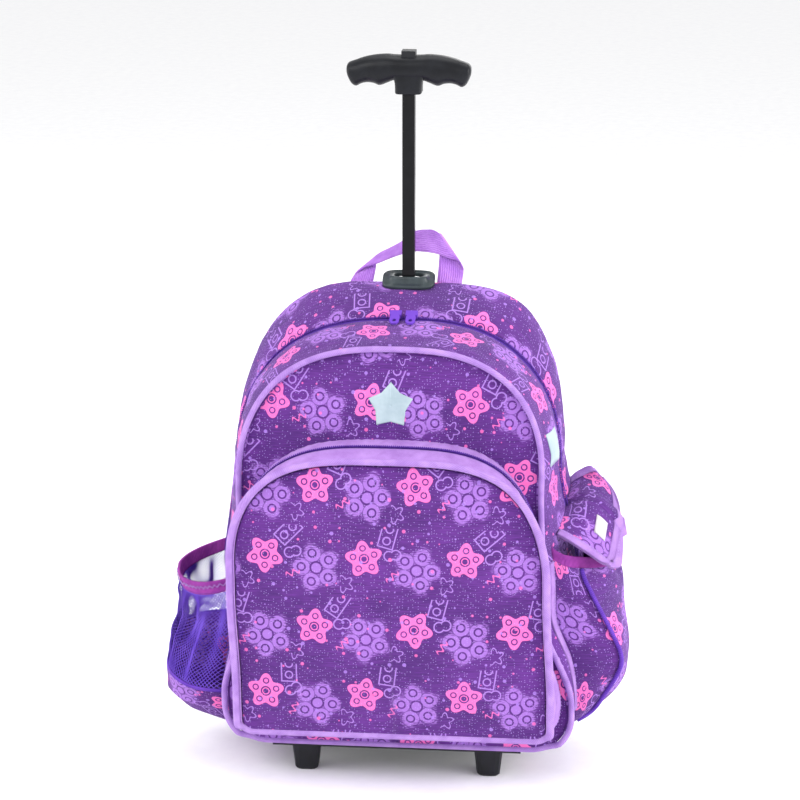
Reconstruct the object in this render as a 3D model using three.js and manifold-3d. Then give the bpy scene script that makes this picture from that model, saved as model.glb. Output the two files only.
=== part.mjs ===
// A child's wheeled backpack in millimetres: X to the right, Y to the back, Z up, standing on Z = 0.
import * as THREE from 'three';
import { mergeVertices } from 'three/addons/utils/BufferGeometryUtils.js';
import Module from 'manifold-3d';

const wasm = await Module();
wasm.setup();

// Cloth and clearances
const WALL = 2;
const GAP = 0.3;
const SEAM_DEPTH = 1.2;
const PIPING_RADIUS = 2.8;
const POCKET_PIPING_RADIUS = 3.2;
const WEBBING_THICK = 1.8;

// Main bag
const BAG_FLOOR = 34;
const BACK_HEIGHT = 418;
const FRONT_HEIGHT = 379;
const ZIP_HEIGHT = 395;
const BACK_HALF_WIDTH = 154;
const ZIP_HALF_WIDTH = 153;
const FRONT_HALF_WIDTH = 138;
const BACK_FACE_Y = 62;
const ZIP_Y = 2;
const BAG_DEPTH = 148;
const FRONT_FACE_Y = BACK_FACE_Y - BAG_DEPTH;
const FRONT_LEAN = 26;
const BACK_EDGE_ROUND = 9;
const GUSSET_BULGE = 3;
const BULGE_START = 60;
const PANEL_BULGE = 5;
const SIDE_LEAN = 6;
const ZIP_HALF_GAP = 5;
const ZIP_THICK = 1.6;

// Front pocket
const POCKET_HALF_WIDTH = 143.5;
const POCKET_BACK_TOP = 333;
const POCKET_BACK_BOTTOM = 45;
const POCKET_FRONT_TOP = 321;
const POCKET_FRONT_BOTTOM = 59;
const POCKET_SEAM_INSET = 4;
const POCKET_DEPTH = 40;
const POCKET_ZIP_SHARE = 0.42;
const POCKET_ZIP_HALF = 3.2;
const POCKET_FACE_BULGE = 9;
const POCKET_GUSSET_BULGE = 2;

// Trolley
const POLE = 11.5;
const POLE_WALL = 1.3;
const POLE_Y = 50;
const POLE_TRAVEL = 166;
const POLE_OVERLAP = 70;
const SLEEVE_CLEARANCE = 0.35;
const SLEEVE_WALL = 1.5;
const GRIP_WIDTH = 116;
const GRIP_HEIGHT = 36;
const GRIP_DEPTH = 26;
const GRIP_EDGE_ROUND = 5;
const GRIP_SOCKET_DEPTH = 16;
const GRIP_PARK_GAP = 9;
const BUTTON_WIDTH = 13;
const BUTTON_DEPTH = 15;
const BUTTON_HEIGHT = 13;
const BUTTON_STANDS_OUT = 4;
const BUTTON_TRAVEL = 3.5;
const GROMMET_WIDTH = 50;
const GROMMET_DEPTH = 24;
const GROMMET_PLATE = 3;
const GROMMET_CHAMFER = 1;
const COLLAR_WIDTH = 38;
const COLLAR_DEPTH = 22;
const COLLAR_HEIGHT = 3;
const COLLAR_TAPER = 0.9;
const COLLAR_OPENING_WIDTH = 27;
const COLLAR_OPENING_DEPTH = 17;

// Base, feet and wheels
const BASE_PLATE = 6;
const BASE_HALF_WIDTH = 118;
const BASE_FRONT_Y = -76;
const BASE_BACK_Y = 58;
const FOOT_TOP_WIDTH = 28;
const FOOT_TOP_DEPTH = 24;
const FOOT_TAPER = 0.79;
const FOOT_CHAMFER = 2;
const FOOT_INSET = 31;
const FOOT_X = BASE_HALF_WIDTH - FOOT_INSET;
const FOOT_Y = -60;
const WHEEL_RADIUS = 30;
const WHEEL_WIDTH = 22;
const WHEEL_INSET = 8;
const WHEEL_X = BASE_HALF_WIDTH - WHEEL_INSET;
const WHEEL_Y = 52;
const TYRE_THICK = 9;
const AXLE_RADIUS = 3;
const WELL_CLEARANCE = 3;
const WELL_SIDE_CLEARANCE = 1.2;
const HOUSING_WALL = 3;
const HOUSING_SKIRT = 8;

// Carry loop, shoulder straps
const LOOP_WIDTH = 22;
const LOOP_SPAN = 84;
const LOOP_RISE = 52;
const LOOP_CENTRE_X = -4;
const LOOP_BELOW_TOP = 4;
const LOOP_FOOT = BAG_FLOOR + BACK_HEIGHT - LOOP_BELOW_TOP;
const STRAP_WIDTH = 54;
const STRAP_THICK = 9;
const STRAP_BELOW_TOP = 40;
const STRAP_TOP = BAG_FLOOR + BACK_HEIGHT - STRAP_BELOW_TOP;
const STRAP_PAD_LENGTH = 245;
const STRAP_BOW = 32;
const STRAP_TOP_X = 44;
const STRAP_SPREAD = 42;
const TAIL_WIDTH = 22;
const TAIL_DROP = 50;
const TAIL_SPREAD = 44;
const ADJUSTER_WIDTH = 32;
const ADJUSTER_HEIGHT = 26;
const ADJUSTER_THICK = 4;
const ADJUSTER_BAR = 4;
const ADJUSTER_SLOT = 6;
const SLOT_CLEARANCE = 1;

// Side pockets
const SIDE_FRONT_Y = -60;
const SIDE_BACK_Y = 40;
const NET_RIM_TOP = 193;
const NET_RIM_SAG = 17;
const NET_RIM_HEIGHT = 12;
const NET_RIM_THICK = 2.4;
const NET_RIM_OUT = 1;
const NET_SEAM_Z = 92;
const NET_SEAM_RISE = 44;
const NET_BOTTOM_Z = 41;
const NET_REACH = 60;
const NET_WALL = 1.2;
const TAPE_WIDTH = 7;
const TAPE_THICK = 1.4;
const TAPE_LIFT = 20;
const POUCH_TOP = 231;
const POUCH_BOTTOM = 48;
const POUCH_REACH = 58;
const POUCH_PIPING_RADIUS = 2.2;
const POUCH_RIM_HEIGHT = 14;
const POUCH_MOUTH_SAG = 34;
const FLAP_BACK_Z = 262;
const FLAP_FRONT_Z = 240;
const FLAP_REACH = 52;
const FLAP_PUFF = 14;
const FLAP_DROP = 51;
const FLAP_SETBACK = 12;
const FLAP_OVERHANG = 2;
const FLAP_BINDING_WIDTH = 8;
const FLAP_BINDING_THICK = 4;
const FLAP_CLEARANCE = 0.6;

// Colours, roughness and metalness
const LOOKS = {
  print: [0x5f32a0, 0.85, 0],
  lilac: [0xb995e6, 0.8, 0],
  violet: [0x5a2ea6, 0.7, 0],
  rim: [0x8f2f90, 0.8, 0],
  net: [0x6a3fc8, 0.8, 0],
  dark: [0x2b2d38, 0.5, 0],
  grommet: [0x3c4548, 0.45, 0],
  steel: [0x9a9da3, 0.35, 0.9],
  pad: [0x4a2a85, 0.9, 0],
};

const part = new THREE.Group();

const point = (x, y, z) => new THREE.Vector3(x, y, z);
const mix = (a, b, share) => a + (b - a) * share;
const smooth = (share) => THREE.MathUtils.smoothstep(share, 0, 1);

function addPiece(name, geometry, look) {
  const [color, roughness, metalness] = LOOKS[look];
  const mesh = new THREE.Mesh(geometry, new THREE.MeshStandardMaterial({ color, roughness, metalness }));
  mesh.name = name;
  part.add(mesh);
  return mesh;
}

// A closed solid from points and triangles, turned so that its faces point out
function closedSolid(points, faces) {
  let volume = 0;
  for (const [a, b, c] of faces) {
    volume += points[a].dot(points[b].clone().cross(points[c]));
  }
  const order = volume < 0 ? faces.map(([a, b, c]) => [a, c, b]) : faces;
  const geometry = new THREE.BufferGeometry();
  geometry.setAttribute('position', new THREE.Float32BufferAttribute(points.flatMap((p) => p.toArray()), 3));
  geometry.setIndex(order.flat());
  return geometry;
}

// A geometry with its corners shared between its faces
const joined = (geometry) => mergeVertices(geometry.deleteAttribute('normal').deleteAttribute('uv'));

// Booleans on three.js geometries
function toManifold(geometry) {
  const bare = new THREE.BufferGeometry();
  bare.setAttribute('position', geometry.getAttribute('position'));
  bare.setIndex(geometry.getIndex());
  const merged = mergeVertices(bare, 1e-4);
  return new wasm.Manifold(new wasm.Mesh({
    numProp: 3,
    vertProperties: new Float32Array(merged.getAttribute('position').array),
    triVerts: new Uint32Array(merged.getIndex().array),
  }));
}

function fromManifold(solid) {
  const mesh = solid.getMesh();
  const geometry = new THREE.BufferGeometry();
  geometry.setAttribute('position', new THREE.Float32BufferAttribute(mesh.vertProperties, 3));
  geometry.setIndex(Array.from(mesh.triVerts));
  return geometry;
}

function combine(base, { add = [], cut = [] }) {
  let solid = toManifold(base);
  for (const other of add) solid = solid.add(toManifold(other));
  for (const other of cut) solid = solid.subtract(toManifold(other));
  return fromManifold(solid);
}

// Trims a sewn piece and keeps its main body without the offcuts
function trim(base, cut) {
  let solid = toManifold(base);
  for (const other of cut) solid = solid.subtract(toManifold(other));
  const [main] = solid.decompose().sort((a, b) => b.volume() - a.volume());
  return fromManifold(main);
}

function block(x0, x1, y0, y1, z0, z1) {
  const geometry = new THREE.BoxGeometry(x1 - x0, y1 - y0, z1 - z0);
  return geometry.translate((x0 + x1) / 2, (y0 + y1) / 2, (z0 + z1) / 2);
}

// A cylinder along X
function drum(radius, x0, x1, y, z, sides) {
  const geometry = new THREE.CylinderGeometry(radius, radius, x1 - x0, sides);
  return geometry.rotateZ(Math.PI / 2).translate((x0 + x1) / 2, y, z);
}

// A sheet is a grid of points: rows of equal length, closed across when its rows are rings,
// and pulled together to one last point when it has a centre
function sheetFaces(rows, ring, centre) {
  const points = rows.flat();
  const count = rows[0].length;
  const faces = [];
  const across = ring ? count : count - 1;
  for (let j = 0; j + 1 < rows.length; j += 1) {
    for (let i = 0; i < across; i += 1) {
      const a = j * count + i;
      const b = j * count + ((i + 1) % count);
      faces.push([a, b, b + count], [a, b + count, a + count]);
    }
  }
  if (centre) {
    const last = (rows.length - 1) * count;
    points.push(centre);
    for (let i = 0; i < across; i += 1) {
      faces.push([last + i, last + ((i + 1) % count), points.length - 1]);
    }
  }
  return { points, faces };
}

// Gives a sheet its thickness: the wall lies on the side of the sheet where the inside point is,
// and its first and last rows stay level along the rim axis, so that two walls can meet there
const LEAST_SPREAD = 0.7;
function thicken(rows, wall, { ring = false, centre = null, inside, rimAxis = ring ? 'y' : null }) {
  const { points, faces } = sheetFaces(rows, ring, centre);
  const sums = points.map(() => point(0, 0, 0));
  const normals = faces.map(([a, b, c]) => {
    const normal = points[b].clone().sub(points[a]).cross(points[c].clone().sub(points[a]));
    for (const corner of [a, b, c]) sums[corner].add(normal);
    return normal.normalize();
  });
  if (rimAxis) {
    const lastRow = (rows.length - 1) * rows[0].length;
    for (let k = 0; k < rows[0].length; k += 1) {
      sums[k][rimAxis] = 0;
      if (!centre) sums[lastRow + k][rimAxis] = 0;
    }
  }
  let facing = 0;
  faces.forEach(([a], k) => {
    facing += normals[k].dot(points[a].clone().sub(inside));
  });
  const turn = facing < 0 ? -1 : 1;
  const bends = points.map(() => ({ total: 0, count: 0 }));
  faces.forEach((face, k) => {
    for (const corner of face) {
      bends[corner].total += normals[k].dot(sums[corner].clone().normalize());
      bends[corner].count += 1;
    }
  });
  const inner = points.map((p, k) => {
    const spread = Math.max(LEAST_SPREAD, bends[k].total / bends[k].count);
    return p.clone().addScaledVector(sums[k].clone().normalize(), (-turn * wall) / spread);
  });
  const shift = points.length;
  const all = faces.concat(faces.map(([a, b, c]) => [a + shift, c + shift, b + shift]));
  const used = new Map();
  for (const [a, b, c] of faces) {
    for (const [from, to] of [[a, b], [b, c], [c, a]]) used.set(`${from},${to}`, [from, to]);
  }
  for (const [from, to] of used.values()) {
    if (!used.has(`${to},${from}`)) {
      all.push([to, from, from + shift], [to, from + shift, to + shift]);
    }
  }
  return closedSolid(points.concat(inner), all);
}

// A band or tube through section rings of equal length, with flat ends or joined into a loop
function sweep(sections, loop = false) {
  const { points, faces } = sheetFaces(loop ? [...sections, sections[0]] : sections, true, null);
  const count = sections[0].length;
  const kept = sections.length * count;
  const wrapped = faces.map((face) => face.map((corner) => (loop ? corner % kept : corner)));
  if (!loop) {
    for (let i = 1; i + 1 < count; i += 1) {
      const last = kept - count;
      wrapped.push([0, i + 1, i], [last, last + i, last + i + 1]);
    }
  }
  return closedSolid(points.slice(0, kept), wrapped);
}

// A flat strap: each station has a middle, the direction of its width and the way its face looks
function strap(stations, width, thick) {
  return sweep(stations.map(({ middle, across, facing, wide = 1 }) => {
    const half = across.clone().normalize().multiplyScalar((width * wide) / 2);
    const deep = facing.clone().normalize().multiplyScalar(thick / 2);
    return [[-1, -1], [1, -1], [1, 1], [-1, 1]].map(([s, t]) => (
      middle.clone().addScaledVector(half, s).addScaledVector(deep, t)
    ));
  }));
}

// A round cord along a path, its section square to the path
function cordAlong(path, radius, loop, sides = 6) {
  const count = path.length;
  let side = null;
  const sections = path.map((middle, k) => {
    const before = path[loop ? (k + count - 1) % count : Math.max(k - 1, 0)];
    const after = path[loop ? (k + 1) % count : Math.min(k + 1, count - 1)];
    const ahead = after.clone().sub(before).normalize();
    const start = side ?? point(0, 1, 0);
    side = start.clone().addScaledVector(ahead, -start.dot(ahead)).normalize();
    const other = ahead.clone().cross(side);
    return Array.from({ length: sides }, (_, n) => {
      const angle = ((n + 0.5) * 2 * Math.PI) / sides;
      return middle.clone()
        .addScaledVector(side, radius * Math.cos(angle))
        .addScaledVector(other, radius * Math.sin(angle));
    });
  });
  return sweep(sections, loop);
}

// Spreads points evenly along a polyline
function evenly(points, steps) {
  const lengths = [0];
  for (let k = 1; k < points.length; k += 1) {
    lengths.push(lengths[k - 1] + points[k].distanceTo(points[k - 1]));
  }
  const total = lengths[lengths.length - 1];
  return Array.from({ length: steps + 1 }, (_, n) => {
    const target = (total * n) / steps;
    let k = lengths.findIndex((length) => length >= target - 1e-9);
    k = Math.max(1, k);
    return points[k - 1].clone().lerp(points[k], (target - lengths[k - 1]) / (lengths[k] - lengths[k - 1]));
  });
}

// Where a line from a point meets the pieces, at the first face that it comes to
const ray = new THREE.Raycaster();
function meet(pieces, from, direction) {
  for (const piece of pieces) piece.updateMatrixWorld();
  ray.set(from, direction.clone().normalize());
  const hits = ray.intersectObjects(pieces, false);
  return hits.length ? hits[0].point : null;
}

// The bag's outlines seen from the front. An outline has a flat floor, round lower corners,
// sides that flare near the floor, and a crown: (across)^out + (up)^rise = 1 above its spring height
const STEPS = { floor: 3, corner: 3, side: 6, crown: 11 };
const DENSE = 48;

const OUTLINES = {
  back: {
    half: BACK_HALF_WIDTH, floor: BAG_FLOOR, top: BAG_FLOOR + BACK_HEIGHT, spring: 0.65, rise: 1.95, out: 4,
    flare: 0.105, flareFrom: 0.675, flareTo: 0.39, corner: 0.09,
  },
  zip: {
    half: ZIP_HALF_WIDTH, floor: BAG_FLOOR, top: BAG_FLOOR + ZIP_HEIGHT, spring: 0.64, rise: 2.2, out: 2.6,
    flare: 0.12, flareFrom: 0.7, flareTo: 0.34, corner: 0.1,
  },
  front: {
    half: FRONT_HALF_WIDTH, floor: BAG_FLOOR, top: BAG_FLOOR + FRONT_HEIGHT, spring: 0.7, rise: 2.2, out: 2.7,
    flare: 0.17, flareFrom: 0.34, flareTo: 0.13, corner: 0.1,
  },
  pocketBack: {
    half: FRONT_HALF_WIDTH - POCKET_SEAM_INSET, floor: POCKET_BACK_BOTTOM, top: POCKET_BACK_TOP,
    spring: 0.64, rise: 2.2, out: 3.2, flare: 0.15, flareFrom: 0.41, flareTo: 0.13, corner: 0.12,
  },
  pocketFront: {
    half: POCKET_HALF_WIDTH, floor: POCKET_FRONT_BOTTOM, top: POCKET_FRONT_TOP,
    spring: 0.6, rise: 2.2, out: 3.6, flare: 0, flareFrom: 0.4, flareTo: 0.1, corner: 0.05,
  },
};

function halfOutline({ half, floor, top, spring, rise, out, flare, flareFrom, flareTo, corner }) {
  const height = top - floor;
  const at = (share) => floor + height * share;
  const round = height * corner;
  const sideAt = (z) => {
    const share = (at(flareFrom) - z) / (height * (flareFrom - flareTo));
    return half * (1 + flare * smooth(share));
  };
  const low = sideAt(floor + round);
  const stretch = (steps, place) => evenly(Array.from({ length: DENSE + 1 }, (_, n) => {
    const [x, z] = place(n / DENSE);
    return new THREE.Vector2(x, z);
  }), steps);
  const quarter = Math.PI / 2;
  const floorPart = stretch(STEPS.floor, (s) => [s * (low - round), floor]);
  const cornerPart = stretch(STEPS.corner, (s) => [
    low - round + round * Math.sin(s * quarter), floor + round - round * Math.cos(s * quarter),
  ]);
  const sidePart = stretch(STEPS.side, (s) => {
    const z = mix(floor + round, at(spring), s);
    return [sideAt(z), z];
  });
  const crownPart = stretch(STEPS.crown, (s) => [
    sideAt(at(spring)) * Math.max(0, Math.cos(s * quarter)) ** (2 / out),
    mix(at(spring), top, Math.sin(s * quarter) ** (2 / rise)),
  ]);
  return [floorPart, cornerPart.slice(1), sidePart.slice(1), crownPart.slice(1)].flat();
}

// How far the soft bag leans to one side, by share of its height
const LEAN = [
  { up: 0, side: 0.5 },
  { up: 0.15, side: 0.3 },
  { up: 0.4, side: -0.5 },
  { up: 0.6, side: -1 },
  { up: 0.85, side: -0.6 },
  { up: 1, side: 0.2 },
];

function leanAt(z) {
  const up = THREE.MathUtils.clamp((z - BAG_FLOOR) / BACK_HEIGHT, 0, 1);
  const k = Math.max(1, LEAN.findIndex((row) => row.up >= up));
  const [low, high] = [LEAN[k - 1], LEAN[k]];
  return SIDE_LEAN * mix(low.side, high.side, smooth((up - low.up) / (high.up - low.up)));
}

const frontFaceAt = (z) => FRONT_FACE_Y + FRONT_LEAN * Math.max(0, (z - BAG_FLOOR) / FRONT_HEIGHT) ** 3;

// A ring in space: floor centre, right side, crown, left side
function ringOf(outline, yAt) {
  const half = halfOutline(outline);
  const flat = half.concat(half.slice(1, -1).reverse().map((p) => new THREE.Vector2(-p.x, p.y)));
  return flat.map((p, k) => point(p.x + leanAt(p.y), yAt(p.y, k), p.y));
}

// Moves a ring's points in its own upright plane, square to the ring, inward when the distance is over 0
function inset(ring, distance) {
  const reach = typeof distance === 'function' ? distance : () => distance;
  return ring.map((p, k) => {
    const before = ring[(k + ring.length - 1) % ring.length];
    const after = ring[(k + 1) % ring.length];
    const inward = point(before.z - after.z, 0, after.x - before.x).normalize();
    return p.clone().addScaledVector(inward, reach(p));
  });
}

// A ring part of the way between two others, bulging out on all sides but the flat floor
function between(ringA, ringB, share, bulge) {
  const ring = ringA.map((p, k) => p.clone().lerp(ringB[k], share));
  const floor = Math.min(...ring.map((p) => p.z));
  return inset(ring, (p) => -bulge * 4 * share * (1 - share) * smooth((p.z - floor) / BULGE_START));
}

// Rings of a panel, drawn towards its middle and standing out by a bulge.
// A back panel is flat, and a front panel follows the leaning front face
const PANEL_RINGS = [0.74, 0.4];
function panelRings(ring, outward, bulge) {
  const box = new THREE.Box3().setFromPoints(ring);
  const centre = box.getCenter(point(0, 0, 0));
  const lean = (z) => (outward > 0 ? 0 : frontFaceAt(z) - frontFaceAt(ring[0].z));
  const place = (p, share) => {
    const moved = centre.clone().lerp(p, share);
    return moved.setY(ring[0].y + lean(moved.z) + outward * bulge * (1 - share ** 2));
  };
  const rows = PANEL_RINGS.map((share) => ring.map((p) => place(p, share)));
  return { rows, centre: place(centre, 0) };
}

// The main zip runs from side to side over the crown; elsewhere the two shells meet at a seam
const FLOOR_TO_SIDE = STEPS.floor + STEPS.corner;
const STEPS_BELOW_ZIP = 3;
const ZIP_START = FLOOR_TO_SIDE + STEPS_BELOW_ZIP;
const RING_COUNT = 2 * (FLOOR_TO_SIDE + STEPS.side + STEPS.crown);
const inZip = (k) => k >= ZIP_START && k <= RING_COUNT - ZIP_START;
const zipGapAt = (k) => (inZip(k) ? ZIP_HALF_GAP : GAP / 2);

const bagInside = point(0, 0, BAG_FLOOR + BACK_HEIGHT / 2);
const backRing = ringOf(OUTLINES.back, () => BACK_FACE_Y);
const zipRing = ringOf(OUTLINES.zip, () => ZIP_Y);
const frontRing = ringOf(OUTLINES.front, (z) => frontFaceAt(z));

// Moves a ring backward by one distance, or by a distance for each of its points
function shiftRing(ring, distance) {
  const shift = typeof distance === 'function' ? distance : () => distance;
  return ring.map((p, k) => point(p.x, p.y + shift(k), p.z));
}

// Rows of the back shell's outer side from the zip to the back panel, and of the front shell's to its panel
function backRows(zipGap) {
  const roundStart = shiftRing(backRing, -BACK_EDGE_ROUND);
  const bend = BACK_EDGE_ROUND * (1 - Math.SQRT1_2);
  return [
    shiftRing(zipRing, zipGap),
    between(zipRing, roundStart, 0.5, GUSSET_BULGE),
    roundStart,
    shiftRing(inset(backRing, bend), -bend),
    inset(backRing, BACK_EDGE_ROUND),
  ];
}
const backCentre = panelRings(backRing, 1, 0).centre;
const frontPanel = panelRings(frontRing, -1, PANEL_BULGE);
function frontRows(zipGap) {
  return [
    shiftRing(zipRing, (k) => -zipGap(k)),
    between(zipRing, frontRing, 0.5, GUSSET_BULGE),
    frontRing,
    ...frontPanel.rows,
  ];
}

// The room that the two halves of the bag take, a little larger than they are, for cutting what is sewn on
function roomOf(rows, centre, extra, outward) {
  const grown = rows.map((ring, k) => shiftRing(inset(ring, -extra), k < 2 ? 0 : outward * extra));
  grown.unshift(shiftRing(grown[0], -outward * 2 * ZIP_HALF_GAP));
  const { points, faces } = sheetFaces(grown, true, centre.clone().add(point(0, outward * extra, 0)));
  points.push(new THREE.Box3().setFromPoints(grown[0]).getCenter(point(0, 0, 0)));
  const count = rows[0].length;
  for (let k = 0; k < count; k += 1) faces.push([(k + 1) % count, k, points.length - 1]);
  return closedSolid(points, faces);
}
const bagRooms = [
  roomOf(backRows(zipGapAt), backCentre, GAP, 1), roomOf(frontRows(zipGapAt), frontPanel.centre, GAP, -1),
];
const sewnOnto = (geometry) => trim(geometry, bagRooms);

// Sleeve, pole and wheel wells pass through the back shell
const sleeveHalf = POLE / 2 + SLEEVE_CLEARANCE + SLEEVE_WALL;
const housingRadius = WHEEL_RADIUS + WELL_CLEARANCE + HOUSING_WALL;
const housingHalf = WHEEL_WIDTH / 2 + WELL_SIDE_CLEARANCE + HOUSING_WALL;
const housingRoom = (side, extra) => drum(
  housingRadius + extra, side * WHEEL_X - housingHalf - extra, side * WHEEL_X + housingHalf + extra,
  WHEEL_Y, WHEEL_RADIUS, 24,
);
const sleeveRoom = block(
  -sleeveHalf - GAP, sleeveHalf + GAP, POLE_Y - sleeveHalf - GAP, POLE_Y + sleeveHalf + GAP,
  0, BAG_FLOOR + BACK_HEIGHT + COLLAR_HEIGHT,
);
const shellOf = (rows, centre) => thicken(rows, WALL, { ring: true, centre, inside: bagInside });
const backPiece = addPiece('rear_shell', combine(shellOf(backRows(zipGapAt), backCentre), {
  cut: [sleeveRoom, housingRoom(-1, GAP), housingRoom(1, GAP)],
}), 'print');
const frontPiece = addPiece('front_shell', shellOf(frontRows(zipGapAt), frontPanel.centre), 'print');
const bagSides = [backPiece, frontPiece];

// Piping sits on the corner between a gusset and its panel
function pipingOn(ring, radius) {
  const reach = (radius + GAP) * Math.SQRT1_2;
  return cordAlong(shiftRing(inset(ring, -reach), -reach), radius, true);
}
addPiece('main_piping', pipingOn(frontRing, PIPING_RADIUS), 'lilac');

// A zip strip fills the slot that a ring's two gussets leave
function zipStrip(ring, first, last, half) {
  const rows = [];
  for (let k = first; k <= last; k += 1) {
    const p = ring[k];
    rows.push([p.clone().setY(p.y - half), p.clone().setY(p.y + half)]);
  }
  return thicken(rows, ZIP_THICK, { inside: bagInside });
}
addPiece('main_zip', zipStrip(zipRing, ZIP_START, RING_COUNT - ZIP_START, ZIP_HALF_GAP - GAP), 'violet');

// A slider: a low body on the zip with a pull tab lying forward from it.
// Half of the tab's outline is given as shares of its half width and its length
const SLIDER_WIDTH = 9;
const SLIDER_LENGTH = 11;
const SLIDER_HEIGHT = 4.5;
const SLIDER_SPACING = 2;
const TAB_LENGTH = 21;
const TAB_THICK = 1.6;
const TAB_HOLE = 4;
const TAB_OUTLINE = [
  { across: 0.6, down: 0 },
  { across: 1, down: 0.35 },
  { across: 1, down: 0.79 },
  { across: 0.5, down: 1 },
];
const TAB_HOLE_AT = { down: 0.7, tall: 1.4 };
function slider() {
  const body = block(
    -SLIDER_LENGTH / 2, SLIDER_LENGTH / 2, -SLIDER_WIDTH / 2, SLIDER_WIDTH / 2, 0, SLIDER_HEIGHT,
  );
  const side = (turn) => TAB_OUTLINE.map(({ across, down }) => (
    new THREE.Vector2((turn * across * SLIDER_WIDTH) / 2, -down * TAB_LENGTH)
  ));
  const shape = new THREE.Shape(side(1).concat(side(-1).reverse()));
  const hole = new THREE.Path();
  const tall = TAB_HOLE * TAB_HOLE_AT.tall;
  hole.absellipse(0, -TAB_LENGTH * TAB_HOLE_AT.down, TAB_HOLE / 2, tall / 2, 0, 2 * Math.PI);
  shape.holes.push(hole);
  const tab = new THREE.ExtrudeGeometry(shape, { depth: TAB_THICK, bevelEnabled: false, curveSegments: 4 });
  tab.translate(0, 0, SLIDER_HEIGHT - TAB_THICK);
  return combine(body, { add: [joined(tab)] });
}
const crownSlope = Math.atan2(ZIP_HEIGHT - FRONT_HEIGHT, ZIP_Y - frontFaceAt(BAG_FLOOR + FRONT_HEIGHT));
for (const [name, side] of [['main_slider_left', -1], ['main_slider_right', 1]]) {
  const geometry = slider().rotateX(crownSlope);
  const x = side * (SLIDER_LENGTH / 2 + SLIDER_SPACING) + leanAt(BAG_FLOOR + ZIP_HEIGHT);
  const lift = GAP + (SLIDER_WIDTH / 2) * Math.sin(crownSlope);
  geometry.translate(x, ZIP_Y, BAG_FLOOR + ZIP_HEIGHT + lift);
  addPiece(name, geometry, 'violet');
}

// Front pocket: its gusset in two bands with a zip between them, its face and its piping
const pocketFrontRing = ringOf(OUTLINES.pocketFront, (z) => frontFaceAt(z) - POCKET_DEPTH);
const pocketBackRing = ringOf(OUTLINES.pocketBack, (z) => frontFaceAt(z) + WALL);
const pocketInside = point(0, FRONT_FACE_Y - POCKET_DEPTH / 2, (POCKET_FRONT_BOTTOM + POCKET_FRONT_TOP) / 2);
const pocketZipRing = between(pocketBackRing, pocketFrontRing, POCKET_ZIP_SHARE, POCKET_GUSSET_BULGE);
const POCKET_ZIP_START = FLOOR_TO_SIDE + STEPS.side;
const inPocketZip = (k) => k >= POCKET_ZIP_START && k <= RING_COUNT - POCKET_ZIP_START;
const pocketGapAt = (k) => (inPocketZip(k) ? POCKET_ZIP_HALF : GAP / 2);
const pocketBand = (ringA, ringB) => (
  thicken([ringA, ringB], WALL, { ring: true, inside: pocketInside })
);
addPiece('pocket_band_back', sewnOnto(
  pocketBand(pocketBackRing, shiftRing(pocketZipRing, pocketGapAt)),
), 'lilac');
addPiece('pocket_band_front', pocketBand(
  shiftRing(pocketZipRing, (k) => -pocketGapAt(k)), pocketFrontRing,
), 'lilac');
addPiece('pocket_zip', zipStrip(
  pocketZipRing, POCKET_ZIP_START, RING_COUNT - POCKET_ZIP_START, POCKET_ZIP_HALF - GAP,
), 'violet');

function pocketFace() {
  const edge = inset(pocketFrontRing, WALL + 2 * GAP);
  const panel = panelRings(edge, -1, POCKET_FACE_BULGE);
  return thicken([edge, ...panel.rows], WALL, { ring: true, centre: panel.centre, inside: pocketInside });
}
addPiece('pocket_face', pocketFace(), 'print');
addPiece('pocket_piping', pipingOn(pocketFrontRing, POCKET_PIPING_RADIUS), 'lilac');

// Trolley: a sleeve fixed in the bag, a pole sliding in it, and a grip with a release button
const fabricTop = BAG_FLOOR + BACK_HEIGHT;
const baseTop = BAG_FLOOR - GAP;
const backSlope = Math.atan2(BACK_HEIGHT - ZIP_HEIGHT, BACK_FACE_Y - BACK_EDGE_ROUND - ZIP_Y);

// The height at the pole of a plate tilted like the bag's top, resting on the highest point under it
function grommetSeatHeight() {
  const heights = [];
  for (let x = -1; x <= 1; x += 0.25) {
    for (let y = -1; y <= 1; y += 0.25) {
      const dy = (y * GROMMET_DEPTH) / 2;
      const from = point((x * GROMMET_WIDTH) / 2, POLE_Y + dy, fabricTop + COLLAR_HEIGHT);
      const hit = meet([backPiece], from, point(0, 0, -1));
      if (hit) heights.push(hit.z - dy * Math.tan(backSlope));
    }
  }
  return Math.max(...heights) + GAP;
}
const grommetFoot = grommetSeatHeight();
const grommetTop = grommetFoot + GROMMET_PLATE + COLLAR_HEIGHT;
const gripBottom = grommetTop + GRIP_PARK_GAP + POLE_TRAVEL;

function squareTube(outer, wall, bottom, top) {
  const shape = new THREE.Shape();
  const trace = (path, half) => {
    path.moveTo(-half, -half);
    path.lineTo(half, -half);
    path.lineTo(half, half);
    path.lineTo(-half, half);
    path.closePath();
  };
  trace(shape, outer / 2);
  const bore = new THREE.Path();
  trace(bore, outer / 2 - wall);
  shape.holes.push(bore);
  const geometry = new THREE.ExtrudeGeometry(shape, { depth: top - bottom, bevelEnabled: false });
  return geometry.translate(0, POLE_Y, bottom);
}
const sleeveTop = grommetFoot - sleeveHalf * Math.tan(backSlope) - GAP;
addPiece('sleeve_tube', squareTube(2 * sleeveHalf, SLEEVE_WALL, baseTop + GAP, sleeveTop), 'dark');
addPiece('pole', squareTube(
  POLE, POLE_WALL, grommetTop - POLE_OVERLAP, gripBottom + GRIP_SOCKET_DEPTH - GAP,
), 'dark');

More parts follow.
